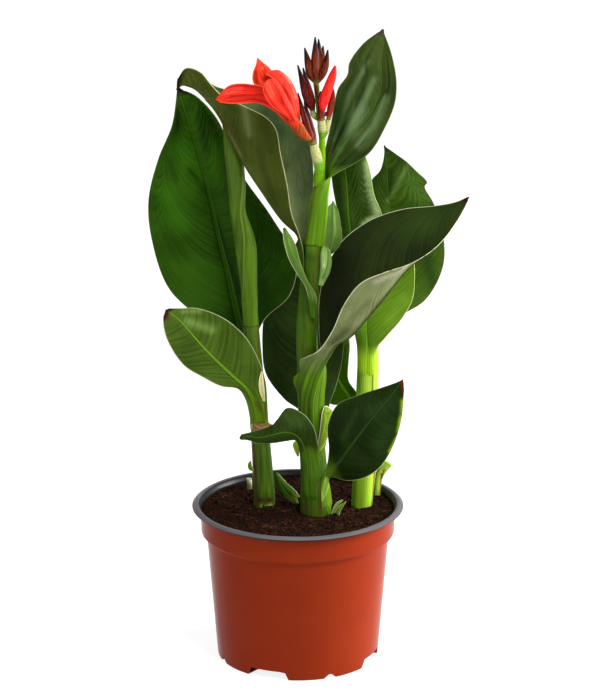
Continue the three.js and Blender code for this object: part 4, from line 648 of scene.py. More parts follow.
# ---------------------------------------------------------------- curves and surfaces
def spline(points, shares):
    """Smooth curve through the points (centripetal Catmull-Rom), read at shares from 0 to 1."""
    points = np.array(points, float)
    padded = np.vstack([2 * points[0] - points[1], points, 2 * points[-1] - points[-2]])
    spans = len(points) - 1
    at = np.asarray(shares) * spans
    low = np.minimum(at.astype(int), spans - 1)
    weight = (at - low)[:, None]
    p0, p1, p2, p3 = (padded[low + k] for k in range(4))
    d0, d1, d2 = (
        np.maximum(np.sqrt(np.linalg.norm((b - a)[:, :3], axis=1)), 1e-6)[:, None]
        for a, b in ((p0, p1), (p1, p2), (p2, p3))
    )
    start = ((p1 - p0) / d0 - (p2 - p0) / (d0 + d1) + (p2 - p1) / d1) * d1
    finish = ((p2 - p1) / d1 - (p3 - p1) / (d1 + d2) + (p3 - p2) / d2) * d1
    square = -3 * p1 + 3 * p2 - 2 * start - finish
    cube = 2 * p1 - 2 * p2 + start + finish
    return p1 + start * weight + square * weight ** 2 + cube * weight ** 3


def unit(vectors):
    return vectors / np.maximum(np.linalg.norm(vectors, axis=-1, keepdims=True), 1e-9)


def normals_of(grid):
    """Direction square to a surface at each of its points, towards the viewer's side of a leaf."""
    return unit(np.cross(np.gradient(grid, axis=1), np.gradient(grid, axis=0)))


def smooth_step(low, high, values):
    share = np.clip((values - low) / (high - low), 0, 1)
    return share * share * (3 - 2 * share)


def lumps(grid, size, seed):
    """Slow random waves, from -1 to 1, over the points of a grid; size is in mm."""
    flat = grid.reshape(-1, 3) / size + seed * 7.3
    return np.array([noise.noise(p) for p in flat]).reshape(grid.shape[:2])


def blade_surface(sections, wave, rows, half):
    """Middle surface of a leaf or petal through its cross-sections, as rows of points from foot to tip,
    with marks at each point: mm from the midrib, mm to the margin and the share of the length."""
    t = np.linspace(0, 1, rows)
    sections = np.array(sections, float)
    left, rib, right = (spline(sections[:, k:k + 3], t) for k in (0, 3, 6))
    bow = np.interp(t * (len(sections) - 1), range(len(sections)), sections[:, 9])
    bow = np.convolve(np.pad(bow, 3, "edge"), np.ones(7) / 7, "valid")
    forward = unit(np.gradient(rib, axis=0))
    steps = np.linalg.norm(np.diff(rib, axis=0), axis=1)
    length = steps.sum()
    along = np.concatenate([[0], np.cumsum(steps)]) / length
    height, count, phase = wave
    columns, across, edge = [], [], []
    for side in np.linspace(-1, 1, 2 * half + 1):
        s = abs(side) ** 1.3
        span = (left if side < 0 else right) - rib
        width = np.linalg.norm(span, axis=1)
        facing = unit(np.cross(forward, span) if side < 0 else np.cross(span, forward))
        sway = np.sin(2 * np.pi * (count * t + phase + (0 if side < 0 else 0.4)))
        ripple = height * s ** 3 * sway * np.minimum(1, width / 20)
        lift = bow * 4 * s * (1 - s) * width + ripple
        columns.append(rib + span * s + facing * lift[:, None])
        across.append(s * width)
        edge.append((1 - s) * width)
    marks = {
        "across": np.stack(across, axis=1),
        "edge": np.stack(edge, axis=1),
        "along": np.tile(along[:, None], (1, 2 * half + 1)),
    }
    return np.stack(columns, axis=1), marks, length


def tube_surface(path, rows, sides, lobes=0, lobe_depth=0.0, wraps=()):
    """Surface of a round body along a path of points with a radius at each, and its mark of how close each
    point is to the free margin of a sheath. A wrap is such a margin: its angle at the foot, its turn in
    degrees per mm of length, the lengths it runs between, its thickness and the side (1 or -1) that it
    folds over from."""
    t = np.linspace(0, 1, rows)
    curve = spline(path, t)
    middle, radius = curve[:, :3], np.maximum(curve[:, 3], 0.05)
    forward = unit(np.gradient(middle, axis=0))
    angle = np.linspace(0, 2 * np.pi, sides + 1)
    across = np.array([1.0, 0, 0])
    grid, lap = np.empty((rows, sides + 1, 3)), np.zeros((rows, sides + 1))
    run = 0.0
    for i in range(rows):
        if i:
            run += np.linalg.norm(middle[i] - middle[i - 1])
        across = unit(across - forward[i] * (across @ forward[i]))
        beside = np.cross(forward[i], across)
        reach = radius[i] * (1 + lobe_depth * np.cos(lobes * angle))
        for start, turn, low, high, step, side in wraps:
            if low <= run <= high:
                behind = np.mod(side * (angle - math.radians(start + turn * run)), 2 * np.pi)
                ahead = 2 * np.pi - behind
                fade_out = min(1, (run - low) / 4, (high - run) / 4)
                lift = np.maximum((1 - behind / (2 * np.pi)) ** 2, 1 - ahead * radius[i] / 1.2)
                reach = reach + step * fade_out * lift
                near = np.minimum(behind, ahead) * radius[i]
                lap[i] = np.maximum(lap[i], np.exp(-(near / 0.9) ** 2) * min(1, fade_out * 3))
        outward = np.cos(angle)[:, None] * across + np.sin(angle)[:, None] * beside
        grid[i] = middle[i] + reach[:, None] * outward
    return grid, lap


def rounded(corners, radius, steps=4):
    """A closed outline with its corners rounded."""
    points = np.array(corners, float)
    outline = []
    for before, corner, after in zip(np.roll(points, 1, 0), points, np.roll(points, -1, 0)):
        lengths = [np.linalg.norm(p - corner) for p in (before, after)]
        reach = min(radius, 0.45 * min(lengths)) if corner[0] > 0 else 0
        first, last = (corner + (p - corner) * reach / d for p, d in zip((before, after), lengths))
        for k in range(steps + 1) if reach else [0]:
            u = k / steps
            outline.append(first * (1 - u) ** 2 + 2 * corner * u * (1 - u) + last * u ** 2)
    return outline


# ---------------------------------------------------------------- modelling
def pick(*pieces):
    """Selects only these pieces; the first one is active."""
    if bpy.context.object and bpy.context.object.mode != "OBJECT":
        bpy.ops.object.mode_set(mode="OBJECT")
    bpy.ops.object.select_all(action="DESELECT")
    for piece in pieces:
        piece.select_set(True)
    bpy.context.view_layer.objects.active = pieces[0] if pieces else None


def edit(piece, *steps):
    """Runs mesh operators on all of a piece in edit mode; each step is an operator and its settings."""
    pick(piece)
    bpy.ops.object.mode_set(mode="EDIT")
    for operator, settings in steps:
        bpy.ops.mesh.select_all(action="SELECT")
        operator(**settings)
    bpy.ops.object.mode_set(mode="OBJECT")


def modify(piece, kind, **settings):
    """Adds a modifier with its settings and applies it."""
    pick(piece)
    modifier = piece.modifiers.new(kind.title(), kind)
    for key, value in settings.items():
        setattr(modifier, key, value)
    bpy.ops.object.modifier_apply(modifier=modifier.name)


def laid_grid(name, points, marks, mirrored=False):
    """A grid primitive laid on rows of points (mm from the pot's axis), with its marks kept on them.
    Its faces look to the viewer's side of the surface, or away from it when mirrored."""
    rows, columns = points.shape[:2]
    pick()
    bpy.ops.mesh.primitive_grid_add(x_subdivisions=columns - 1, y_subdivisions=rows - 1, size=2)
    piece = bpy.context.object
    piece.name = piece.data.name = name
    flat = np.empty(rows * columns * 3)
    piece.data.vertices.foreach_get("co", flat)
    flat = flat.reshape(-1, 3)
    order = np.lexsort((flat[:, 0].round(5), flat[:, 1].round(5)))
    turn = slice(None, None, -1) if mirrored else slice(None)
    laid = np.empty_like(flat)
    laid[order] = points[:, turn].reshape(-1, 3) * MM + np.array((AXIS.x, AXIS.y, 0))
    piece.data.vertices.foreach_set("co", laid.ravel())
    for title, values in marks.items():
        kept = np.empty(len(flat))
        kept[order] = values[:, turn].ravel()
        piece.data.attributes.new(title, "FLOAT", "POINT").data.foreach_set("value", kept)
    piece.data.update()
    return piece


def tube(name, points, marks, material):
    """A closed round piece: a grid rolled up, joined along its seam and capped."""
    piece = laid_grid(name, points, marks)
    edit(piece, (bpy.ops.mesh.remove_doubles, {"threshold": 2e-7}))
    pick(piece)
    bpy.ops.object.mode_set(mode="EDIT")
    bpy.ops.mesh.select_mode(type="EDGE")
    bpy.ops.mesh.select_all(action="DESELECT")
    bpy.ops.mesh.select_non_manifold()
    bpy.ops.mesh.edge_face_add()
    bpy.ops.mesh.select_all(action="SELECT")
    bpy.ops.mesh.normals_make_consistent(inside=False)
    bpy.ops.object.mode_set(mode="OBJECT")
    piece.data.materials.append(material)
    return piece


def joined(name, pieces):
    """One piece of several."""
    pick(*pieces)
    if len(pieces) > 1:
        bpy.ops.object.join()
    piece = bpy.context.object
    piece.name = piece.data.name = name
    return piece


def dress(piece, slot, *nodes, angle=40):
    """Smooths a finished piece, hangs it on the part and lets it stand for its solids."""
    pick(piece)
    piece.name = piece.data.name = "fine_" + piece.name.replace(" ", "_")
    bpy.ops.object.shade_smooth_by_angle(angle=math.radians(angle))
    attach(piece, "root")
    if nodes:
        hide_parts(*nodes)


# ---------------------------------------------------------------- materials
# Settings that many nodes share: a range that eases in and out, a mix of two colours, and two sums
SMOOTH = {"interpolation_type": "SMOOTHSTEP"}
COLOURS = {"data_type": "RGBA"}
TIMES = {"operation": "MULTIPLY"}
TIMES_PLUS = {"operation": "MULTIPLY_ADD"}


def add_node(tree, kind, *values, out=None, inputs=None, **settings):
    """Adds a node with its settings, fills its inputs in order or by name with numbers, hex colours or
    results of other nodes, and gives its first result or the one that out names."""
    node = tree.nodes.new("ShaderNode" + kind)
    for key, value in settings.items():
        setattr(node, key, value)
    sockets = [socket for socket in node.inputs if socket.enabled]
    filled = list(zip(sockets, values)) + [(node.inputs[key], value) for key, value in (inputs or {}).items()]
    for socket, value in filled:
        if isinstance(value, bpy.types.NodeSocket):
            tree.links.new(value, socket)
        else:
            socket.default_value = linear(value) if isinstance(value, str) else value
    return next((socket for socket in node.outputs if socket.enabled and out in (None, socket.name)), None)


def new_material(name, **shader):
    """A material with only its shader, set with constants; also what adds its nodes, and the shader."""
    material = bpy.data.materials.new(name)
    material.use_nodes = True
    material.node_tree.nodes.clear()
    node = functools.partial(add_node, material.node_tree)
    shine = node("BsdfPrincipled", inputs={
        key.replace("_", " ").title().replace("Ior", "IOR"): value for key, value in shader.items()})
    node("OutputMaterial", shine)
    return material, node, shine.node


def finish_material(node, surface, colour, height, strength, depth):
    """Links a colour, and a relief of a depth in metres, to the shader."""
    relief = node("Bump", inputs={"Strength": strength, "Distance": depth, "Height": height})
    for source, title in ((colour, "Base Color"), (relief, "Normal")):
        surface.id_data.links.new(source, surface.inputs[title])


def per_metre(size):
    """Scale of a pattern whose grains, fibres or streaks are a size in mm apart."""
    return 1 / (size * MM)


def streaks(node, number, way, spacing, stretch, seed):
    """Noise that changes with every spacing of the number, and slowly along the way."""
    across = node("Math", number, spacing, operation="DIVIDE")
    along = node("Math", way, stretch, operation="DIVIDE")
    return node("TexNoise", node("CombineXYZ", across, along, seed), 1)


def ridges(node, number, spacing, sharpness):
    """Ridges from 0 to 1, one for every spacing of the number."""
    wave = node("Math", node("Math", number, 2 * math.pi / spacing, **TIMES), operation="SINE")
    return node("Math", node("Math", wave, 0.5, 0.5, **TIMES_PLUS), sharpness, operation="POWER")


def painted(node, colour, look, spots):
    """Lays the patches of a look over a colour, stains and painted highlights, sheen and shade alike;
    spots make their borders uneven.
    """
    for shade, *_ in look.get("patches", ()):
        patch = node("Attribute", attribute_name="patch " + shade, out="Fac")
        share = node("Math", patch, node("Math", spots, 2, **TIMES), **TIMES)
        colour = node("Mix", share, colour, shade, **COLOURS)
    return colour


def darkened(node, colour, share, most):
    """A colour taken towards black where a share is high, by no more than most."""
    return node("Mix", node("Math", share, most, **TIMES), colour, "#000000", **COLOURS)


def leaf_material(name, look, side, seed):
    """Living canna leaf: a waxy cuticle gives a soft sheen; side veins show as fine lines, with painted
    shade in the hollows of the folds, and the midrib as a lighter band between lines of painted shade.
    The patches paint stains, highlights, sheen and shade. The underside is paler and matter. The
    marks of the surface are in mm, except along, which runs from 0 at the foot to 1 at the tip."""
    material, node, surface = new_material(
        name, roughness=0.42 if side == "face" else 0.55, specular_ior_level=0.03)
    vein, across, edge, along, fold, lean, pale = (
        node("Attribute", attribute_name=title, out="Fac")
        for title in ("vein", "across", "edge", "along", "fold", "lean", "pale"))
    # Broad streaks between the side veins, clouded by patches as wide as a thumb
    broad = streaks(node, vein, across, 3.4, 60, seed)
    cloud = node("TexNoise", node("TexCoord", out="Object"), per_metre(38.46), 4)
    tone = node("Math", broad, 0.45, node("Math", cloud, 0.55, **TIMES), **TIMES_PLUS)
    colour = node("Mix", node("MapRange", tone, 0.34, 0.66, **SMOOTH), *look[side], **COLOURS)
    # The look's patches: stains, and painted highlights, sheen and shade
    colour = painted(node, colour, look, tone)
    # Fine side veins, painted shade in the hollows of the folds, then the midrib and the painted shade beside
    # and along it
    fine = node("Math", ridges(node, vein, 1.7, 3), node("MapRange", across, 1.5, 5, **SMOOTH), **TIMES)
    colour = darkened(node, colour, fine, 0.2)
    colour = darkened(node, colour, node("MapRange", fold, 0.1, 0.9, **SMOOTH), look.get("fold_shade", 0.35))
    wide = look.get("rib_wide", 1.9)
    ratio = node("Math", across, node("Math", along, -0.8 * wide, wide, **TIMES_PLUS), operation="DIVIDE")
    starts, ends = (node("MapRange", ratio, low, high, **SMOOTH) for low, high in ((0.8, 1.2), (2.2, 1.3)))
    colour = darkened(node, colour, node("Math", starts, ends, **TIMES), 0.4)
    rib = node("Math", node("MapRange", ratio, 1.2, 0.7, **SMOOTH), 0.85, **TIMES)
    colour = node("Mix", rib, colour, look["rib"], **COLOURS)
    colour = darkened(node, colour, node("MapRange", ratio, 0.35, 0.05, **SMOOTH), 0.35)
    # The ribbed sheath, the pale margin and the withered tip
    foot = node("MapRange", along, look["sheath"] + 0.05, look["sheath"] - 0.07, **SMOOTH)
    ribbed = ridges(node, lean, 1.8, 1.5)
    tone = node("Math", ribbed, 0.09, streaks(node, lean, along, 3, 0.6, seed), **TIMES_PLUS)
    skin = node("Mix", node("MapRange", tone, 0.3, 0.85, **SMOOTH), *look["foot"], **COLOURS)
    colour = node("Mix", foot, colour, painted(node, skin, look, cloud), **COLOURS)
    margin = node("Math", node("MapRange", edge, 0.8, 0.2, **SMOOTH), pale, **TIMES)
    colour = node("Mix", margin, colour, look["edge"], **COLOURS)
    colour = node("Mix", node("MapRange", along, 0.965, 0.99, **SMOOTH), colour, look["tip"], **COLOURS)
    relief = node("Math", foot, node("Math", ribbed, 2, **TIMES), fine, **TIMES_PLUS)
    finish_material(node, surface, colour, node("Math", broad, 1.5, relief, **TIMES_PLUS), 0.35, 0.0006)
    return material


def margin_material(name, look):
    """Thin rim of a canna blade: pale and dry where it is exposed, green like the blade elsewhere."""
    material, node, surface = new_material(name, roughness=0.6, specular_ior_level=0.1)
    along, pale = (node("Attribute", attribute_name=title, out="Fac") for title in ("along", "pale"))
    spots = node("TexNoise", node("TexCoord", out="Object"), per_metre(4.545))
    foot = node("MapRange", along, look["sheath"] + 0.05, look["sheath"] - 0.07, **SMOOTH)
    green = node("Mix", foot, look["face"][1], look["foot"][1], **COLOURS)
    dry = node("Math", pale, node("MapRange", spots, 0.2, 0.5, **SMOOTH), **TIMES)
    colour = node("Mix", dry, green, look["edge"], **COLOURS)
    colour = node("Mix", node("MapRange", along, 0.95, 0.98, **SMOOTH), colour, look["tip"], **COLOURS)
    finish_material(node, surface, colour, spots, 0.2, 0.0003)
    return material


def stem_material(name, look, circumference, seed):
    """Leaf sheaths round a stem: juicy skin ribbed every 2.2 mm, with a satin gloss, flushed brown and
    purple in places, with painted highlights and shade in others, and the pale or withered free margin
    of each sheath."""
    material, node, surface = new_material(name, roughness=0.4, specular_ior_level=0.04)
    around = node("SeparateXYZ", node("UVMap", uv_map="UVMap"), out="X")
    ribs = ridges(node, around, 1 / max(6, round(circumference / 2.2)), 2)
    scale = (per_metre(3.846), per_metre(3.846), per_metre(45.45))
    stretched = node("Mapping", node("TexCoord", out="Object"), (seed, 0, 0), (0, 0, 0), scale)
    streak = node("TexNoise", stretched, 1, 3)
    tone = node("Math", ribs, 0.12, streak, **TIMES_PLUS)
    colour = node("Mix", node("MapRange", tone, 0.34, 0.76, **SMOOTH), look["dark"], look["light"], **COLOURS)
    colour = painted(node, colour, look, streak)
    lap = node("MapRange", node("Attribute", attribute_name="lap", out="Fac"), 0.2, 0.9, **SMOOTH)
    colour = node("Mix", lap, colour, look["lap"], **COLOURS)
    finish_material(node, surface, colour, ribs, 0.3, 0.0004)
    return material


def petal_material(name, look):
    """Canna petal: thin, velvety and brilliant, finely veined, with a mottled throat, brown at its foot,
    and painted shade in the hollows of its waves.
    """
    material, node, surface = new_material(name, roughness=0.55, specular_ior_level=0.06)
    across, along, edge, fold = (
        node("Attribute", attribute_name=title, out="Fac") for title in ("across", "along", "edge", "fold"))
    lines = streaks(node, across, node("Math", along, 100, **TIMES), 1, 40, 3)
    tone = node("MapRange", lines, 0.38, 0.66, **SMOOTH)
    colour = node("Mix", tone, look["dark"], look["light"], **COLOURS)
    colour = painted(node, colour, look, lines)
    rim = node("Math", node("MapRange", edge, 1.4, 0.3, **SMOOTH), 0.5, **TIMES)
    colour = node("Mix", rim, colour, look["edge"], **COLOURS)
    # Painted shade in the hollows of the petal's waves
    colour = darkened(node, colour, node("MapRange", fold, 0.2, 0.9, **SMOOTH), 0.35)
    mottle = node("TexNoise", node("TexCoord", out="Object"), per_metre(2.632), 3)
    uneven = node("Math", mottle, 0.3, along, **TIMES_PLUS)
    colour = node("Mix", node("MapRange", uneven, 0.52, 0.24, **SMOOTH), colour, look["throat"], **COLOURS)
    colour = node("Mix", node("MapRange", uneven, 0.34, 0.16, **SMOOTH), colour, "#6E4A14", **COLOURS)
    finish_material(node, surface, colour, lines, 0.3, 0.0003)
    return material


def sepal_material(name, look):
    """Sepal and bud scale: leathery skin with a satin gloss, near black at the point and greenish at the
    foot, with fibres about 1 mm apart."""
    material, node, surface = new_material(name, roughness=0.38, specular_ior_level=0.08)
    rise = node("SeparateXYZ", node("UVMap", uv_map="UVMap"), out="Y")
    scale = (per_metre(1.111), per_metre(1.111), per_metre(11.11))
    stretched = node("Mapping", node("TexCoord", out="Object"), (0, 0, 0), (0, 0, 0), scale)
    lines = node("TexNoise", stretched, 1)
    tone = node("MapRange", lines, 0.36, 0.64, **SMOOTH)
    colour = node("Mix", tone, look["dark"], look["light"], **COLOURS)
    colour = node("Mix", node("MapRange", rise, 0.6, 0.97, **SMOOTH), colour, look["tip"], **COLOURS)
    colour = node("Mix", node("MapRange", rise, 0.16, 0, **SMOOTH), colour, look["foot"], **COLOURS)
    # Painted shade along the edges where the scales overlap
    colour = darkened(node, colour, node("Attribute", attribute_name="lap", out="Fac"), 0.6)
    finish_material(node, surface, colour, lines, 0.3, 0.0003)
    return material


def ovary_material(name, light, dark, foot):
    """Ovary: pale green skin densely set with soft warts, running into the smooth green of its stalk."""
    material, node, surface = new_material(name, roughness=0.55, specular_ior_level=0.1)
    rise = node("SeparateXYZ", node("UVMap", uv_map="UVMap"), out="Y")
    warts = node("TexVoronoi", node("TexCoord", out="Object"), per_metre(1.111))
    colour = node("Mix", node("MapRange", warts, 0.15, 0.6, **SMOOTH), light, dark, **COLOURS)
    colour = node("Mix", node("MapRange", rise, 0.5, 0.3, **SMOOTH), colour, foot, **COLOURS)
    relief = node("Math", 1, warts, operation="SUBTRACT")
    finish_material(node, surface, colour, relief, 0.9, 0.0006)
    return material


def plastic_material(name, base, mottle_and_sheen, roughness, gloss):
    """Injection-moulded polypropylene: a smooth satin gloss with a faint flow mottle and fine scuffs."""
    material, node, surface = new_material(name, roughness=roughness, specular_ior_level=gloss)
    where = node("TexCoord", out="Object")
    mottle = node("MapRange", node("TexNoise", where, per_metre(71.43), 4), 0.3, 0.85, **SMOOTH)
    scuffs = node("TexNoise", where, per_metre(0.6667))
    finish_material(node, surface, node("Mix", mottle, base, mottle_and_sheen, **COLOURS), scuffs, 0.08, 0.0002)
    return material


def soil_material(name, dark, light, crumb):
    """Moist peat with coir: matt and crumbly, dark red-brown with lighter crumbs of a size in mm."""
    material, node, surface = new_material(name, roughness=0.9, specular_ior_level=0.05)
    crumbs = node("TexNoise", node("TexCoord", out="Object"), per_metre(crumb), 6, 0.65)
    colour = node("Mix", node("MapRange", crumbs, 0.46, 0.68, **SMOOTH), dark, light, **COLOURS)
    finish_material(node, surface, colour, crumbs, 1, 0.0016)
    return material


# ---------------------------------------------------------------- stems, shoots and flower parts
# Looks of the stems. wraps are the free margins of sheaths: angle at the foot (270 is the front), turn in
# degrees per mm, lengths between which it runs, thickness and the side it folds over from. Patches are
# flushed, pale and withered places, and painted highlights and shade, as on the leaves.
STEM_LOOKS = {
    "left_stem": {
        "light": "#4A661A", "dark": "#2E440C", "lap": "#4A3014",
        "wraps": [(212, 0.05, 0, 112, 0.9, -1), (225, 0.5, 96, 196, 0.6, -1)],
        "patches": [
            ("#3A2A1C", (2, 0.8, (-39.2, 3.7, 195.7), (-38, 3, 172.3), (-36.7, 2.2, 144))),
            # A painted highlight down the front of the stem
            ("#54761A", (3, 0.5, (-30.2, -0.1, 192.3), (-27.7, -0.1, 154.4))),
            ("#341818", (3, 0.9, (-34.9, 0.7, 144.6), (-23.2, 1, 144.4))),
            ("#7A9A48", (2, 0.9, (-32.2, -0.5, 138.3), (-23.2, 0.7, 138.8))),
        ],
    },
    "centre_stem": {
        "light": "#41600E", "dark": "#2A4408", "lap": "#4E4420",
        "wraps": [(235, 0.1, 20, 190, 0.5, 1), (300, -0.3, 0, 96, 0.9, 1), (250, 0.2, 200, 300, 0.4, 1)],
        "patches": [
            # The lighter greens down the front are painted highlights and the dark green below the node
            # painted shade; the browns, the dark node line and the olive foot are the stem's own
            ("#547616", (9, 0.6, (15, -19.6, 439.6), (11.5, -28.7, 392.9))),
            ("#5E3C20", (1.3, 0.9, (15.8, -19.3, 439.5), (7.2, -24.1, 392.6))),
            ("#1E3008", (0.9, 1, (6.3, -25.1, 384.8), (19.4, -26.6, 384.2)),
                (4, 0.4, (7.2, -27.4, 379.1), (17.6, -27.9, 377.4))),
            ("#223808", (6, 0.7, (6.3, -27.6, 362.1), (7.2, -28, 330.5))),
            ("#5E8022", (4, 0.4, (17.9, -21.6, 253.5), (17.1, -22.7, 213))),
            ("#4A4C18", (5, 0.6, (7.4, -20.6, 144.6), (21.6, -23.6, 143.7))),
            ("#43260F", (1.2, 0.9, (16.8, -25.8, 348), (16.9, -23.1, 325.5))),
        ],
    },
    "right_stem": {
        "light": "#98BA34", "dark": "#7CA024", "lap": "#6C6A24",
        "wraps": [(320, -0.15, 96, 204, 0.6, 1), (338, 0.05, 0, 80, 0.5, 1)],
        "patches": [
            ("#4E7A14", (2.2, 0.9, (51.4, 2, 165.1), (50.6, 1, 138.7)),
                (1.8, 0.8, (54.3, 3.9, 286.4), (54.5, 1.3, 248.1))),
            ("#5A2E12", (1.5, 1, (68.9, 3.1, 170.4), (67.3, 5.3, 148.7))),
            ("#6E8C14", (8, 0.5, (57.6, -1.9, 162.6), (57.8, -1.6, 141.6))),
            # A painted highlight down the front of the stem
            ("#B4C850", (2.2, 0.4, (62.2, -1.3, 286.1), (61.5, -1.9, 251))),
            ("#33260E", (2, 0.9, (50.6, 0.9, 135.9), (66.5, 6.2, 136))),
        ],
    },
    "left_furled_leaf": {
        "light": "#4A6618", "dark": "#354C0C", "lap": "#5C6E26", "wraps": [(200, 0.9, 14, 180, 0.8, 1)],
        "patches": [
            # A painted highlight down the front of the furled leaf
            ("#4C6C14", (7, 0.7, (-40.1, -0.5, 375.6), (-36.9, 2.4, 308.1))),
            ("#2C4408", (1.6, 0.9, (-49.8, 0.4, 366.3), (-48.3, 1.9, 331.2))),
            ("#4A2012", (2.2, 1, (-65.6, 3.2, 491.1), (-57.8, -0.3, 479.5))),
            ("#3E5220", (6, 0.5, (-58.7, -2.9, 467.6), (-52.1, -1.7, 422.8))),
        ],
    },
    "flower_stalk": {
        "light": "#6A980E", "dark": "#4E7E08", "lap": "#5A3A1E", "wraps": [],
        "patches": [("#5A2A1E", (4, 1, (15.7, -23.5, 526.6), (15.7, -23.1, 521.3)))],
    },
    "axillary_bud": {
        "light": "#7E9E54", "dark": "#5E8038", "lap": "#4E6A30", "wraps": [(250, 2, 6, 34, 0.4, 1)],
        "patches": [
            ("#4A3018", (2, 1, (24.6, -25.3, 389.3), (25.4, -25.8, 387.6))),
            # A painted highlight on the bud
            ("#A8BC84", (1.6, 0.8, (22.8, -26.4, 380.6), (22.8, -28.7, 370.5))),
        ],
    },
    "cut_stub": {
        "light": "#8AA434", "dark": "#6C8824", "lap": "#5A4A24", "wraps": [(260, -1, 0, 40, 0.4, 1)],
        "patches": [
            ("#4A2414", (1.4, 0.9, (75.4, 36.8, 140.5), (76.6, 35.6, 157.2)),
                (1, 1, (78.4, 35.7, 161), (76.7, 36.7, 153))),
            ("#C2C48C", (2, 0.8, (77.5, 37.6, 167.1), (82.2, 41.4, 166.8))),
        ],
    },
    "short_stub": {
        "light": "#8A8A54", "dark": "#5E6034", "lap": "#6A5A38", "wraps": [],
        "patches": [("#C8C8AC", (2.6, 1, (-45.6, 50.9, 146.1), (-42.5, 52.6, 144.7)))],
    },
    "sprig": {"light": "#7E9C3C", "dark": "#5A7A24", "lap": "#566A28", "wraps": []},
    "soil_sprout": {
        "light": "#5E7E22", "dark": "#3E5C14", "lap": "#566A28", "wraps": [],
        "patches": [("#5A2818", (3.5, 0.8, (-12.5, 12.9, 151.7), (-1.6, 11.2, 144.7)))],
    },
}
SPROUT_LOOK = {
    "face": ("#34540E", "#527418"), "under": ("#3A5C10", "#587A1E"), "rib": "#7E9A38",
    "foot": ("#4C7014", "#6E9026"), "edge": "#C8CC9C", "tip": "#5A6824", "sheath": 0.1,
    "veins": (0.8, 0.8, 1.1), "pleat": (0.2, 0.2), "margins": (0.7, 1), "keel": 0.25, "rib_wide": 0.6,
}
BUD_LOOKS = {
    "top_buds": {"light": "#64280F", "dark": "#3C0E08", "tip": "#140606", "foot": "#5E5228"},
    "side_buds": {"light": "#66140C", "dark": "#380A06", "tip": "#120606", "foot": "#4A3E1E"},
    "bloom_sepals": {"light": "#6A1E12", "dark": "#3A100A", "tip": "#200A08", "foot": "#5A5A24"},
    "opening_bud_sepals": {"light": "#74220F", "dark": "#42120C", "tip": "#1C0A08", "foot": "#6A5C28"},
    "opening_bud_petal": {"light": "#E42A20", "dark": "#C01410", "tip": "#C81014", "foot": "#7A1A10"},
}
# The petals' patches are painted light and shade: the dark reds are painted shade in the creases and between
# the petals, the pale reds and pinks painted highlights
PETAL_LOOKS = [
    {
        "light": "#E63424", "dark": "#D02014", "edge": "#F0563C", "throat": "#A82C0C",
        "patches": [
            ("#9A0C06", (0.8, 1, (-56.6, -40.4, 523.1), (-42.1, -42.7, 525.3), (-28.6, -42.3, 524.4)),
                (0.7, 0.9, (-50.5, -44.5, 534.3), (-33.6, -43.8, 531.6)),
                (0.6, 0.7, (-62.6, -39.7, 518.6), (-49.1, -37.3, 516.4))),
            ("#EE4A3A", (2.4, 0.8, (-60.8, -41.7, 526.8), (-48.9, -41.8, 529.5))),
        ],
    },
    {
        "light": "#EC4426", "dark": "#D83018", "edge": "#F0663C", "throat": "#A82C0C",
        "patches": [
            ("#F07A50", (0.8, 0.9, (-30.4, -28.5, 544.9), (-23.3, -52.6, 540.3)),
                (0.8, 0.8, (-27.8, -28.7, 546.7), (-19.2, -39, 540.1))),
            ("#A81408", (1.6, 0.8, (-35.4, -30.7, 541.9), (-34.6, -31.8, 533.5))),
        ],
    },
    {
        "light": "#E23020", "dark": "#D02416", "edge": "#E84C34", "throat": "#A0280C",
        "patches": [
            ("#E8523A", (4, 0.5, (-25, -52.8, 536), (-21.7, -52.3, 527.3))),
            ("#B01A0E", (1.3, 1, (-14.9, -49.9, 532), (-12.4, -49.3, 518.1)),
                (1.1, 0.9, (-28.4, -53.3, 529.2), (-20.2, -36, 509.2))),
        ],
    },
    {
        "light": "#E83E2E", "dark": "#D42A1C", "edge": "#F06A58", "throat": "#9A300E",
        "patches": [
            ("#F08070", (2, 0.9, (-13.3, -33, 542.3), (-5.6, -36.9, 534.5)),
                (1.2, 0.5, (-4.8, -37.9, 531.2), (-1.4, -38.8, 521.1))),
            ("#980C06", (1.1, 1, (-11.6, -41.6, 533.7), (-6.5, -43, 516.7))),
        ],
    },
]


def paint(points, look, marks):
    """Adds a mark for each colour of a look's patches: how much of it lies at each point. A patch is a
    radius, a strength and the points of a line that it follows."""
    for shade, *patches in look.get("patches", ()):
        share = np.zeros(points.shape[:2])
        for radius, strength, *line in patches:
            for start, end in zip(line, line[1:] or line):
                start, way = np.array(start, float), np.subtract(end, start)
                along = np.clip((points - start) @ way / max(way @ way, 1e-6), 0, 1)
                far = np.linalg.norm(points - start - along[..., None] * way, axis=2)
                share = np.maximum(share, strength * np.exp(-(far / radius) ** 2))
        marks["patch " + shade] = share


def build_stem(name, path, spacing, seed, lobes=0, lobe_depth=0.0):
    """A stem, shoot or stub: ribbed sheaths rolled round each other, stained where they age, with painted
    highlights and shade.
    """
    look = STEM_LOOKS[name]
    points = np.array(path, float)
    length = np.linalg.norm(np.diff(points[:, :3], axis=0), axis=1).sum()
    widest = points[:, 3].max()
    rows = max(12, int(length / spacing))
    sides = max(16, int(2 * math.pi * widest / (0.6 * spacing)))
    grid, lap = tube_surface(path, rows, sides, lobes, lobe_depth, look["wraps"])
    marks = {"lap": lap}
    paint(grid, look, marks)
    title = name.replace("_", " ")
    return tube(title, grid, marks, stem_material(title + " skin", look, 2 * math.pi * widest, seed))


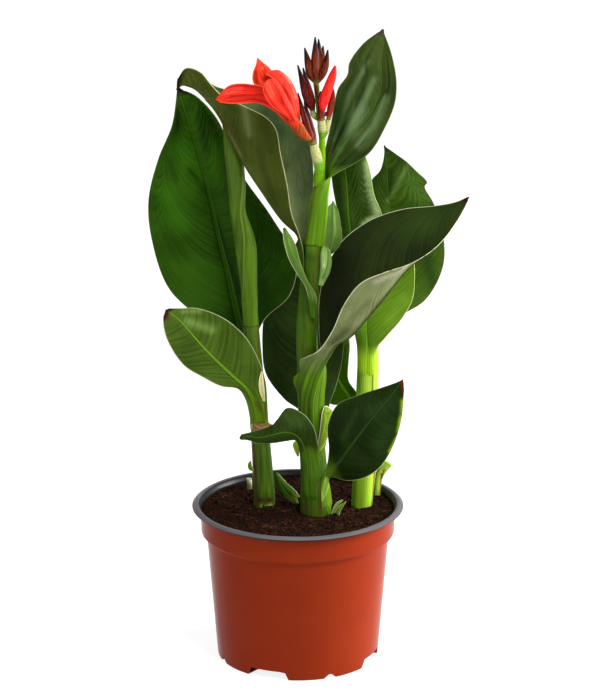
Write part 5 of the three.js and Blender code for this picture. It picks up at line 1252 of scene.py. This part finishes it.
def build_blade(name, sections, wave, upper, look, settings, seed):
    """One leaf: its surface, folds along the side veins and a groove over the midrib, then a thickness
    that swells to a keel under the midrib. upper is 1 where the face is turned to the viewer, or -1."""
    points = np.array(sections, float)[:, :9].reshape(-1, 3, 3)
    length = np.linalg.norm(np.diff(points[:, 1], axis=0), axis=1).sum()
    widest = max(np.linalg.norm(points[:, k] - points[:, 1], axis=1).max() for k in (0, 2))
    spacing, thin = settings.spacing / MM, settings.blade / MM
    grid, marks, length = blade_surface(sections, wave, int(length / spacing) + 8, int(widest / spacing) + 5)
    across, edge, along = (marks[title] for title in ("across", "edge", "along"))
    facing = normals_of(grid) * upper
    paint(grid, look, marks)
    low, high, bend = look["veins"]
    blade = (along - look["sheath"]) / (1 - look["sheath"])
    climb = (low + (high - low) * np.clip(blade, 0, 1)) * (across / np.maximum(across + edge, 0.1)) ** bend
    marks["vein"] = length * (1 - look["sheath"]) * (blade - climb) / np.maximum(1 - climb, 0.05)
    sides = np.linspace(-1, 1, grid.shape[1])
    marks["pale"] = np.where(sides < 0, *look["margins"]) * smooth_step(-0.1, 0.12, blade)
    seen = smooth_step(1.5, 8, across) * smooth_step(0.3, 5, edge) * smooth_step(-0.05, 0.12, blade)
    turn = marks["vein"] * MM / settings.fold + 0.6 * lumps(grid, 34, seed)
    if look.get("folds") == "long":
        turn = 3.2 * (across / np.maximum(across + edge, 0.1)) ** 0.8 + 0.5 * lumps(grid, 60, seed)
    depth = np.interp(blade, (0, 1), look["pleat"]) * (0.7 + 0.8 * lumps(grid, 24, seed + 1))
    folds = depth * np.sin(2 * np.pi * turn)
    # The fold mark is high where a fold dips; it sets the painted shade in the hollows
    marks["fold"] = -np.sin(2 * np.pi * turn) * seen * np.clip(depth, 0, 1)
    marks["lean"] = across * np.sign(sides)
    swell = 0.45 * lumps(grid, 22, seed + 2) * smooth_step(1.5, 8, across)
    taper = 1 - 0.85 * along
    groove = 0.45 * np.exp(-(across / (1.3 * taper + 0.2)) ** 2) * taper
    sink = 1.3 * look.get("sink", 0) * (1 - smooth_step(0, 0.03, along))
    grid = grid + facing * ((folds + swell) * seen + 0.5 * thin - groove + sink)[..., None]
    thickest = settings.midrib / MM
    keel = look.get("keel", 1) * (thickest - thin) * taper * np.exp(-(across / (2.4 * taper + 0.4)) ** 2)
    marks["body"] = (thin + keel) / thickest
    piece = laid_grid(name, grid, marks, mirrored=upper < 0)
    group = piece.vertex_groups.new(name="body")
    weights = np.empty(len(piece.data.vertices))
    piece.data.attributes["body"].data.foreach_get("value", weights)
    for index, weight in enumerate(weights):
        group.add([index], weight, "REPLACE")
    for material in (
        leaf_material(name + " face", look, "face", seed),
        leaf_material(name + " underside", look, "under", seed),
        margin_material(name + " margin", look),
    ):
        piece.data.materials.append(material)
    modify(piece, "SOLIDIFY", thickness=settings.midrib, offset=-1.0, vertex_group="body",
           thickness_vertex_group=0.0, material_offset=1, material_offset_rim=2)
    return piece


def build_scales(stem, settings):
    """The bracts and torn sheath ends that stand on a stem."""
    pieces = []
    for title, (foot, look, sections) in SCALES.items():
        if foot == stem:
            dark, light, edge, tip = look
            pieces.append(build_blade(title, sections, (0, 1, 0), 1, {
                "face": (dark, light), "under": (dark, light), "foot": (dark, light), "rib": light,
                "edge": edge, "tip": tip, "sheath": 0.02, "veins": (0.8, 0.8, 1.1), "pleat": (0.1, 0.1),
                "margins": (1, 1), "keel": 0.1, "rib_wide": 0.3}, settings, len(pieces)))
    return pieces


def build_petal(name, sections, look, seed):
    """A petal: a soft crinkled blade of even thickness, curled along its margin."""
    grid, marks, _ = blade_surface(sections, (0.6, 3, 0.1 * seed), 70, 18)
    across, edge, along = (marks[title] for title in ("across", "edge", "along"))
    facing = normals_of(grid)
    paint(grid, look, marks)
    crease = -0.8 * np.exp(-(across / 1.4) ** 2) * (1 - 0.6 * along)
    share = across / np.maximum(across + edge, 0.1)
    waves = np.sin(2 * np.pi * (2.2 * share + 0.4 * lumps(grid, 14, seed + 5)))
    # The fold mark is high in the hollows of the waves, where the painted shade goes
    marks["fold"] = -waves * smooth_step(0.5, 3, across) * smooth_step(0.2, 2, edge)
    crinkle = 0.35 * lumps(grid, 7, seed) * smooth_step(0.5, 4, across)
    flutes = 0.12 * np.sin(across * 2 * np.pi / 2.2) * smooth_step(1, 4, edge)
    grid = grid + facing * (crease + crinkle + flutes - 0.35 * marks["fold"])[..., None]
    piece = laid_grid(name, grid, marks)
    piece.data.materials.append(petal_material(name + " skin", look))
    modify(piece, "SOLIDIFY", thickness=0.0005, offset=0.0)
    return piece


def build_bud(name, path, material):
    """A pointed bud of three scales that close over each other."""
    grid, lap = tube_surface(path, 60, 48, 3, 0.09, [(200 + 31 * len(name), 1.5, 3, 60, 0.35, 1)])
    return tube(name, grid, {"lap": lap}, material)


# ---------------------------------------------------------------- pot and soil
def build_pot(settings):
    """The pot: a profile with its corners rounded, spun round the axis, with the feet's notches cut out."""
    p = POT
    low_rim = p["height"] - p["rim_depth"]
    roll = p["rim_radius"] - p["step"]
    inner = p["collar_radius"] - p["wall"]
    disc = p["disc_radius"] + p["disc_slope"]
    outside = [
        (0, p["disc_height"]), (p["disc_radius"], p["disc_height"]), (disc, 0), (p["base_radius"], 0),
        (p["body_top_radius"], p["collar_bottom"] - p["step"]),
        (p["collar_radius"] - p["draft"], p["collar_bottom"]), (p["collar_radius"], low_rim),
    ]
    inside = [
        (roll, low_rim), (p["rim_radius"], low_rim + 2), (p["rim_radius"], p["height"] - 2),
        (roll, p["height"]), (p["collar_radius"] + 2, p["height"]), (p["collar_radius"], p["height"] - 2),
        (inner, low_rim),
        (inner, p["collar_bottom"] + 1), (p["body_top_radius"] - p["wall"], p["collar_bottom"] - 2),
        (p["base_radius"] - p["wall"], p["wall"]), (disc + p["lift"], p["wall"]),
        (p["disc_radius"] + p["lift"], p["disc_height"] + p["wall"]), (0, p["disc_height"] + p["wall"]),
    ]
    outline = np.array(rounded(outside + inside, 1.1))
    pick()
    bpy.ops.mesh.primitive_circle_add(vertices=len(outline), radius=0.1)
    pot = bpy.context.object
    pot.name = pot.data.name = "nursery pot"
    for vertex, (radius, height) in zip(pot.data.vertices, outline):
        vertex.co = (AXIS.x + radius * MM, AXIS.y, height * MM)
    circle = {"angle": 2 * math.pi, "center": (AXIS.x, AXIS.y, 0), "axis": (0, 0, 1)}
    edit(
        pot,
        (bpy.ops.mesh.spin, {"steps": settings.sectors, **circle}),
        (bpy.ops.mesh.remove_doubles, {"threshold": 1e-6}),
        (bpy.ops.mesh.dissolve_degenerate, {"threshold": 1e-7}),
        (bpy.ops.mesh.normals_make_consistent, {"inside": False}),
    )
    cutters = []
    for turn in range(0, 360, FOOT_PERIOD):
        cutters += [notch_cutter(notch, turn) for notch in NOTCHES]
    cutter = joined("notch cutters", cutters)
    modify(pot, "BOOLEAN", object=cutter, operation="DIFFERENCE", solver="EXACT")
    bpy.data.objects.remove(cutter)
    clay = (*settings.outside, 1.0)
    for material in (
        plastic_material("terracotta plastic, moulded", clay, "#7C280E", 0.24, 0.03),
        plastic_material("black plastic, moulded", "#121010", "#1C1A1A", 0.35, 0.15),
        # The rim's grey is a painted sheen of the light on the top of the black rim
        plastic_material("black plastic, scuffed grey on the rim", "#48444A", "#5C585C", 0.26, 0.5),
    ):
        pot.data.materials.append(material)
    for face in pot.data.polygons:
        radius = math.hypot(face.center.x - AXIS.x, face.center.y - AXIS.y) / MM
        level = face.center.z / MM
        wall = np.interp(level, (0, p["collar_bottom"] - p["step"], p["collar_bottom"], low_rim), (
            p["base_radius"], p["body_top_radius"], p["collar_radius"] - p["draft"], p["collar_radius"]))
        outer = level < low_rim - 0.1 and (
            radius > wall - 0.6 * p["wall"] or face.normal.z < -0.9 or level < 12)
        # Faces that look up on the rim take the painted grey sheen
        ring = level > low_rim and radius > p["collar_radius"] + 0.4 and face.normal.z > 0.8
        face.material_index = 0 if outer else 2 if ring else 1
    return pot


def notch_cutter(notch, turn):
    """A tapered block that cuts one notch out of the foot of the pot: a cube shaped in edit mode."""
    start, end, height, slant = notch
    pick()
    bpy.ops.mesh.primitive_cube_add(size=2)
    block = bpy.context.object
    for vertex in block.data.vertices:
        radius = NOTCH_REACH[0] if vertex.co.y > 0 else NOTCH_REACH[1]
        top = vertex.co.z > 0
        degrees = (start + slant * top) if vertex.co.x < 0 else (end - slant * top)
        angle = math.radians(degrees + turn)
        x, y = radius * math.sin(angle), -radius * math.cos(angle)
        vertex.co = (AXIS.x + x * MM, AXIS.y + y * MM, (height if top else -1) * MM)
    edit(block, (bpy.ops.mesh.normals_make_consistent, {"inside": False}))
    return block


def soil_height(x, y):
    """Height in mm of the soil's surface, apart from its crumbs, at places in mm from the axis."""
    a, b, c, d = (2 * np.pi / wave for wave in SOIL_WAVES)
    share = 1 - np.hypot(x, y) / (POT["collar_radius"] - POT["wall"])
    waves = np.sin(x * a + 1) * np.cos(y * b) + 0.6 * np.sin(x * c - y * d)
    return SOIL_TOP + SOIL_MOUND * share + SOIL_LUMP * waves * np.minimum(1, share * 6)


def build_soil():
    """The filling: a round grid that runs over the crumbly top, down the wall and back under."""
    reach = POT["collar_radius"] - POT["wall"] - 0.5
    low = POT["disc_height"] + POT["wall"] + 0.3
    step = POT["body_top_radius"] - POT["wall"] - 0.5
    rings = np.linspace(0, reach, int(reach / 1.3))
    wall = [(reach, 119), (step, 115), (POT["disc_radius"] + 18, 40), (POT["disc_radius"], low), (0, low)]
    angle = np.linspace(0, 2 * np.pi, 361)
    rows = []
    for radius, level in [(radius, None) for radius in rings] + wall:
        x, y = radius * np.cos(angle), radius * np.sin(angle)
        rows.append(np.stack([x, y, soil_height(x, y) if level is None else np.full(len(x), level)], 1))
    grid = np.array(rows)
    top = len(rings)
    crumble = 0.9 * lumps(grid[:top], 7, 1) + 0.6 * lumps(grid[:top], 2.6, 2)
    grid[:top, :, 2] += crumble * np.minimum(1, (reach - rings) / 3)[:, None]
    grid[:, -1] = grid[:, 0]
    soil = laid_grid("potting soil", grid[:, ::-1], {})
    edit(
        soil,
        (bpy.ops.mesh.remove_doubles, {"threshold": 2e-6}),
        (bpy.ops.mesh.dissolve_degenerate, {"threshold": 1e-7}),
        (bpy.ops.mesh.normals_make_consistent, {"inside": False}),
    )
    soil.data.materials.append(soil_material("moist peat, crumbled", "#0E0703", "#3E1E0F", 1.923))
    return soil


def scattered(chance, margin):
    """A random place on the soil, in mm from the axis, clear of the wall."""
    reach = POT["collar_radius"] - POT["wall"] - margin
    radius, angle = reach * math.sqrt(chance.random()), chance.uniform(0, 2 * math.pi)
    x, y = radius * math.cos(angle), radius * math.sin(angle)
    return x, y, float(soil_height(x, y))


def build_crumbs(settings):
    """Crumbs of bark and peat: icospheres squashed and turned at random, then crumpled."""
    chance = random.Random(settings.seed)
    pick()
    bpy.ops.mesh.primitive_ico_sphere_add(
        subdivisions=2, radius=0.001, location=(AXIS.x, AXIS.y + 0.02, SOIL_TOP * MM))
    crumbs = bpy.context.object
    crumbs.name = crumbs.data.name = "bark crumbs"
    bpy.ops.object.mode_set(mode="EDIT")
    for _ in range(settings.crumbs):
        x, y, z = scattered(chance, 3)
        size = chance.uniform(0.45, 1.0) if chance.random() < 0.75 else chance.uniform(1.0, 2.1)
        bpy.ops.mesh.primitive_ico_sphere_add(
            subdivisions=2 if size > 0.8 else 1, radius=size * MM,
            location=(AXIS.x + x * MM, AXIS.y + y * MM, (z + 0.35 * size) * MM),
            rotation=[chance.uniform(0, 6.28) for _ in range(3)],
            scale=(1, chance.uniform(0.5, 0.9), chance.uniform(0.35, 0.7)))
    bpy.ops.object.mode_set(mode="OBJECT")
    crumbs.data.transform(crumbs.matrix_world)
    crumbs.matrix_world.identity()
    clouds = bpy.data.textures.new("crumbly shape", "CLOUDS")
    clouds.noise_scale = 0.0016
    modify(crumbs, "DISPLACE", texture=clouds, texture_coords="LOCAL", strength=0.0009, mid_level=0.5)
    crumbs.data.materials.append(soil_material("bark crumb, dry outside", "#160C07", "#5A2A16", 1.429))
    return crumbs


def build_fibres(settings):
    """Coir fibres lying over the soil: thin bent strands, made as a curve and turned into a mesh."""
    chance = random.Random(settings.seed + 1)
    pick()
    bpy.ops.curve.primitive_bezier_curve_add(location=(0, 0, 0))
    strands = bpy.context.object
    strands.data.splines.clear()
    for _ in range(settings.fibres):
        x, y, _ = scattered(chance, 8)
        heading, turn = chance.uniform(0, 6.28), chance.uniform(-0.5, 0.5)
        step, count = chance.uniform(1.0, 3.0), chance.randint(4, 7)
        strand = strands.data.splines.new("POLY")
        strand.points.add(count - 1)
        for point in strand.points:
            level = float(soil_height(x, y)) + chance.uniform(0.4, 1.6)
            point.co = (AXIS.x + x * MM, AXIS.y + y * MM, level * MM, 1)
            x, y, heading = x + step * math.cos(heading), y + step * math.sin(heading), heading + turn
            limit = (POT["collar_radius"] - POT["wall"] - 2) / max(1.0, math.hypot(x, y))
            x, y = x * min(1, limit), y * min(1, limit)
    strands.data.dimensions = "3D"
    strands.data.bevel_depth = settings.fibre
    strands.data.bevel_resolution = 1
    strands.data.use_fill_caps = True
    pick(strands)
    bpy.ops.object.convert(target="MESH")
    fibres = bpy.context.object
    fibres.name = fibres.data.name = "coir fibres"
    material, node, surface = new_material("coir fibre, dry", roughness=0.8, specular_ior_level=0.1)
    tones = node("TexNoise", node("TexCoord", out="Object"), per_metre(8.333))
    tone = node("MapRange", tones, 0.4, 0.7, **SMOOTH)
    finish_material(node, surface, node("Mix", tone, "#28120A", "#7A4A2C", **COLOURS), tones, 0.2, 0.0002)
    fibres.data.materials.append(material)
    return fibres


# ---------------------------------------------------------------- settings
def length(name, description, default, least=0.0):
    """A length that the user can set, in metres."""
    return bpy.props.FloatProperty(
        name=name, description=description, default=default, min=least, unit="LENGTH")


class CannaLeafSettings(bpy.types.PropertyGroup):
    """Sizes shared by all leaves."""
    blade: length("Blade", "Thickness of a leaf blade", 0.0006, 0.0003)
    midrib: length("Midrib", "Thickness over the midrib at the foot", 0.0024, 0.001)
    fold: length("Fold", "Spacing of the folds along the side veins", 0.0085, 0.003)
    spacing: length("Spacing", "Spacing of the points of the mesh", 0.0017, 0.001)


class CannaStemSettings(bpy.types.PropertyGroup):
    """Sizes shared by stems and shoots."""
    spacing: length("Spacing", "Spacing of the points of the mesh", 0.0014, 0.0008)


class CannaPotSettings(bpy.types.PropertyGroup):
    """Looks of the pot."""
    sectors: bpy.props.IntProperty(
        name="Sectors", description="Flat faces round the pot's wall", default=256, min=64)
    outside: bpy.props.FloatVectorProperty(
        name="Outside", description="Colour of the plastic outside", default=linear("#76230C")[:3], size=3,
        subtype="COLOR")


class CannaSoilSettings(bpy.types.PropertyGroup):
    """What lies on the soil."""
    crumbs: bpy.props.IntProperty(name="Crumbs", description="Number of loose crumbs", default=1300, min=0)
    fibres: bpy.props.IntProperty(name="Fibres", description="Number of coir fibres", default=230, min=1)
    fibre: length("Fibre", "Radius of a fibre", 0.00012, 0.00005)
    seed: bpy.props.IntProperty(name="Seed", description="Number the random places start from", default=7)


class CannaStageSettings(bpy.types.PropertyGroup):
    """Floor, light and camera."""
    floor: length("Floor", "Side of the floor", 16.0, 4.0)
    key: bpy.props.FloatProperty(name="Key light", description="Power of the main light", default=70.0)
    fill: bpy.props.FloatProperty(name="Fill light", description="Power of the left light", default=8.0)
    sky: bpy.props.FloatProperty(name="Sky", description="Strength of the even light all round", default=0.5)
    glow: bpy.props.FloatProperty(name="Glow", description="How far the floor glows by itself", default=0.85)
    strip: bpy.props.FloatProperty(name="Strip light", description="Power of the right light", default=85.0)
    lens: bpy.props.FloatProperty(name="Lens", description="Focal length in millimetres", default=151.5)
    distance: length("Distance", "Distance of the camera in front of the pot", 2.5)
    height: length("Height", "Height of the camera", 1.035)
    pitch: bpy.props.FloatProperty(
        name="Pitch", description="How far the camera looks down", default=0.2912,
        unit="ROTATION", subtype="ANGLE")


# ---------------------------------------------------------------- operators
class CANNA_OT_pot(bpy.types.Operator):
    """Builds the round nursery pot with its collar, rim and notched foot"""
    bl_idname = "canna.pot"
    bl_label = "Nursery pot"

    def execute(self, context):
        dress(build_pot(context.scene.canna_pot), "pot_plastic", "pot", angle=32)
        return {"FINISHED"}


class CANNA_OT_soil(bpy.types.Operator):
    """Builds the potting soil with its loose crumbs and fibres"""
    bl_idname = "canna.soil"
    bl_label = "Potting soil"

    def execute(self, context):
        settings = context.scene.canna_soil
        dress(build_soil(), "potting_soil", "potting_soil", angle=80)
        dress(build_crumbs(settings), "potting_soil", angle=50)
        dress(build_fibres(settings), "potting_soil", angle=60)
        return {"FINISHED"}


class CANNA_OT_stems(bpy.types.Operator):
    """Builds the three stems, each of sheaths rolled round each other"""
    bl_idname = "canna.stems"
    bl_label = "Stems"

    def execute(self, context):
        spacing = context.scene.canna_stem.spacing / MM
        for seed, (name, path) in enumerate(STEMS.items()):
            pieces = [build_stem(name, path, spacing, seed)] + build_scales(name, context.scene.canna_leaf)
            dress(joined(name, pieces), "stem_green", name)
        dress(build_stem("left_furled_leaf", FURLED_LEAF, spacing, 5), "leaf_olive", "left_furled_leaf")
        return {"FINISHED"}


class CANNA_OT_shoots(bpy.types.Operator):
    """Builds the small shoots and stubs round the stems"""
    bl_idname = "canna.shoots"
    bl_label = "Small shoots"

    def execute(self, context):
        settings = context.scene.canna_leaf
        for seed, (name, path) in enumerate(SMALL_SHOOTS.items()):
            slot = "stalk_pale_green" if name == "short_stub" else "stem_green"
            pieces = [build_stem(name, path, 0.8, 10 + seed, 3, 0.08)] + build_scales(name, settings)
            dress(joined(name, pieces), slot, name)
        foot = build_stem("soil_sprout", SPROUT_FOOT, 0.8, 17)
        scale = build_blade("sprout scale", SPROUT, (0, 1, 0), 1, SPROUT_LOOK, settings, 18)
        dress(joined("soil sprout", [foot, scale]), "stem_green", "soil_sprout")
        return {"FINISHED"}


class CANNA_OT_leaves(bpy.types.Operator):
    """Builds the fourteen open leaves, each with its folds, midrib, sheath and pale margin"""
    bl_idname = "canna.leaves"
    bl_label = "Leaves"

    def execute(self, context):
        settings = context.scene.canna_leaf
        for seed, (name, (slot, under, wave, sections)) in enumerate(LEAVES.items()):
            title = name.replace("_", " ")
            piece = build_blade(title, sections, wave, -under, LEAF_LOOKS[name], settings, seed)
            dress(piece, slot, name, angle=55)
        return {"FINISHED"}


class CANNA_OT_flower_stalk(bpy.types.Operator):
    """Builds the flower stalk with its warty ovaries"""
    bl_idname = "canna.flower_stalk"
    bl_label = "Flower stalk"

    def execute(self, context):
        warty = ovary_material("ovary, warty skin", "#C2B884", "#93985A", "#5A8A0A")
        pieces = [build_stem("flower_stalk", RACHIS, 0.8, 21)]
        for number, path in enumerate(OVARIES):
            grid, _ = tube_surface(path, 40, 40, 3, 0.05)
            pieces.append(tube(f"ovary {number + 1}", grid, {}, warty))
        dress(joined("flower stalk", pieces), "stalk_pale_green", "flower_stalk")
        return {"FINISHED"}


class CANNA_OT_buds(bpy.types.Operator):
    """Builds the flower buds, the sepals and the half-open petal"""
    bl_idname = "canna.buds"
    bl_label = "Buds and sepals"

    def execute(self, context):
        for name, group in {**BUDS, "opening_bud_petal": [OPENING_PETAL]}.items():
            title = name.replace("_", " ")
            material = sepal_material(title + " skin", BUD_LOOKS[name])
            buds = [build_bud(f"{title} {number + 1}", path, material) for number, path in enumerate(group)]
            slot = "petal_scarlet" if name == "opening_bud_petal" else "sepal_dark_red"
            dress(joined(title, buds), slot, name)
        return {"FINISHED"}


class CANNA_OT_petals(bpy.types.Operator):
    """Builds the open bloom: its four petals and the orange throat"""
    bl_idname = "canna.petals"
    bl_label = "Bloom"

    def execute(self, context):
        petals = [
            build_petal(f"petal {number + 1}", sections, PETAL_LOOKS[number], number)
            for number, sections in enumerate(PETALS)
        ]
        grid, lap = tube_surface(THROAT, 40, 40, 3, 0.06)
        throat = sepal_material("throat skin", {
            "light": "#94400F", "dark": "#6E220A", "tip": "#C42A14", "foot": "#5E4A1A"})
        petals.append(tube("throat", grid, {"lap": lap}, throat))
        dress(joined("bloom", petals), "petal_scarlet", "bloom_petals", angle=60)
        return {"FINISHED"}


class CANNA_OT_stage(bpy.types.Operator):
    """Lays the floor and places the lights and the camera"""
    bl_idname = "canna.stage"
    bl_label = "Stage"

    def execute(self, context):
        settings = context.scene.canna_stage
        pick()
        bpy.ops.mesh.primitive_plane_add(size=settings.floor, location=(AXIS.x, AXIS.y, -0.0002))
        floor = context.object
        floor.name = floor.data.name = "floor"
        material, node, surface = new_material(
            "matt white studio card, lit from below", roughness=0.95, specular_ior_level=0,
            emission_color=(1, 1, 1, 1), emission_strength=settings.glow)
        tones = node("TexNoise", node("TexCoord", out="Object"), per_metre(333.3))
        colour = node("Mix", tones, "#949493", "#989897", **COLOURS)
        finish_material(node, surface, colour, tones, 0.05, 0.0002)
        floor.data.materials.append(material)
        lights = (
            ("key light", settings.key, (1.2, 1.2), (1.2, -1.5, 2.1)),
            ("fill light", settings.fill, (1.4, 1.4), (-1.9, -1.2, 1.3)),
            ("strip light", settings.strip, (0.8, 1.3), (1.7, 0.25, 0.6)),
        )
        for name, power, size, location in lights:
            aim = (Vector((0, 0, 0.3)) - Vector(location)).to_track_quat("-Z", "Y").to_euler()
            bpy.ops.object.light_add(type="AREA", location=location, rotation=aim)
            lamp = context.object
            lamp.name = lamp.data.name = name
            lamp.data.shape = "RECTANGLE"
            lamp.data.energy, lamp.data.size, lamp.data.size_y = power, *size
        world = bpy.data.worlds.new("studio")
        world.use_nodes = True
        background = next(node for node in world.node_tree.nodes if node.type == "BACKGROUND")
        background.inputs["Color"].default_value = (1.0, 1.0, 1.0, 1.0)
        background.inputs["Strength"].default_value = settings.sky
        context.scene.world = world
        bpy.ops.object.camera_add(
            location=(AXIS.x + 0.002, AXIS.y - settings.distance, settings.height),
            rotation=(math.pi / 2 - settings.pitch, 0, 0))
        camera = context.object
        camera.name = camera.data.name = "camera"
        camera.data.lens = settings.lens
        camera.data.dof.use_dof = False
        camera.data.clip_end = 60
        context.scene.camera = camera
        context.scene.view_settings.view_transform = "Standard"
        return {"FINISHED"}


class CANNA_PT_plant(bpy.types.Panel):
    """Buttons and sizes of the potted canna lily"""
    bl_idname = "CANNA_PT_plant"
    bl_label = "Potted canna lily"
    bl_space_type = "VIEW_3D"
    bl_region_type = "UI"
    bl_category = "Canna"

    def draw(self, context):
        layout = self.layout
        for step in STEPS:
            layout.operator("canna." + step)
        for group in GROUPS:
            box = layout.box()
            box.label(text=group[6:].title())
            settings = getattr(context.scene, group)
            for name in settings.__annotations__:
                box.prop(settings, name)


GROUPS = {
    "canna_pot": CannaPotSettings, "canna_soil": CannaSoilSettings, "canna_stem": CannaStemSettings,
    "canna_leaf": CannaLeafSettings, "canna_stage": CannaStageSettings,
}
STEPS = ("pot", "soil", "stems", "shoots", "leaves", "flower_stalk", "buds", "petals", "stage")
CLASSES = (
    CANNA_OT_pot, CANNA_OT_soil, CANNA_OT_stems, CANNA_OT_shoots, CANNA_OT_leaves, CANNA_OT_flower_stalk,
    CANNA_OT_buds, CANNA_OT_petals, CANNA_OT_stage, CANNA_PT_plant,
)


def register():
    for name, group in GROUPS.items():
        bpy.utils.register_class(group)
        setattr(bpy.types.Scene, name, bpy.props.PointerProperty(type=group))
    for item in CLASSES:
        bpy.utils.register_class(item)


def unregister():
    for item in reversed(CLASSES):
        bpy.utils.unregister_class(item)
    for name, group in GROUPS.items():
        delattr(bpy.types.Scene, name)
        bpy.utils.unregister_class(group)


def main():
    """Builds every piece and the stage."""
    register()
    for step in STEPS:
        getattr(bpy.ops.canna, step)()


if __name__ == "__main__":
    main()
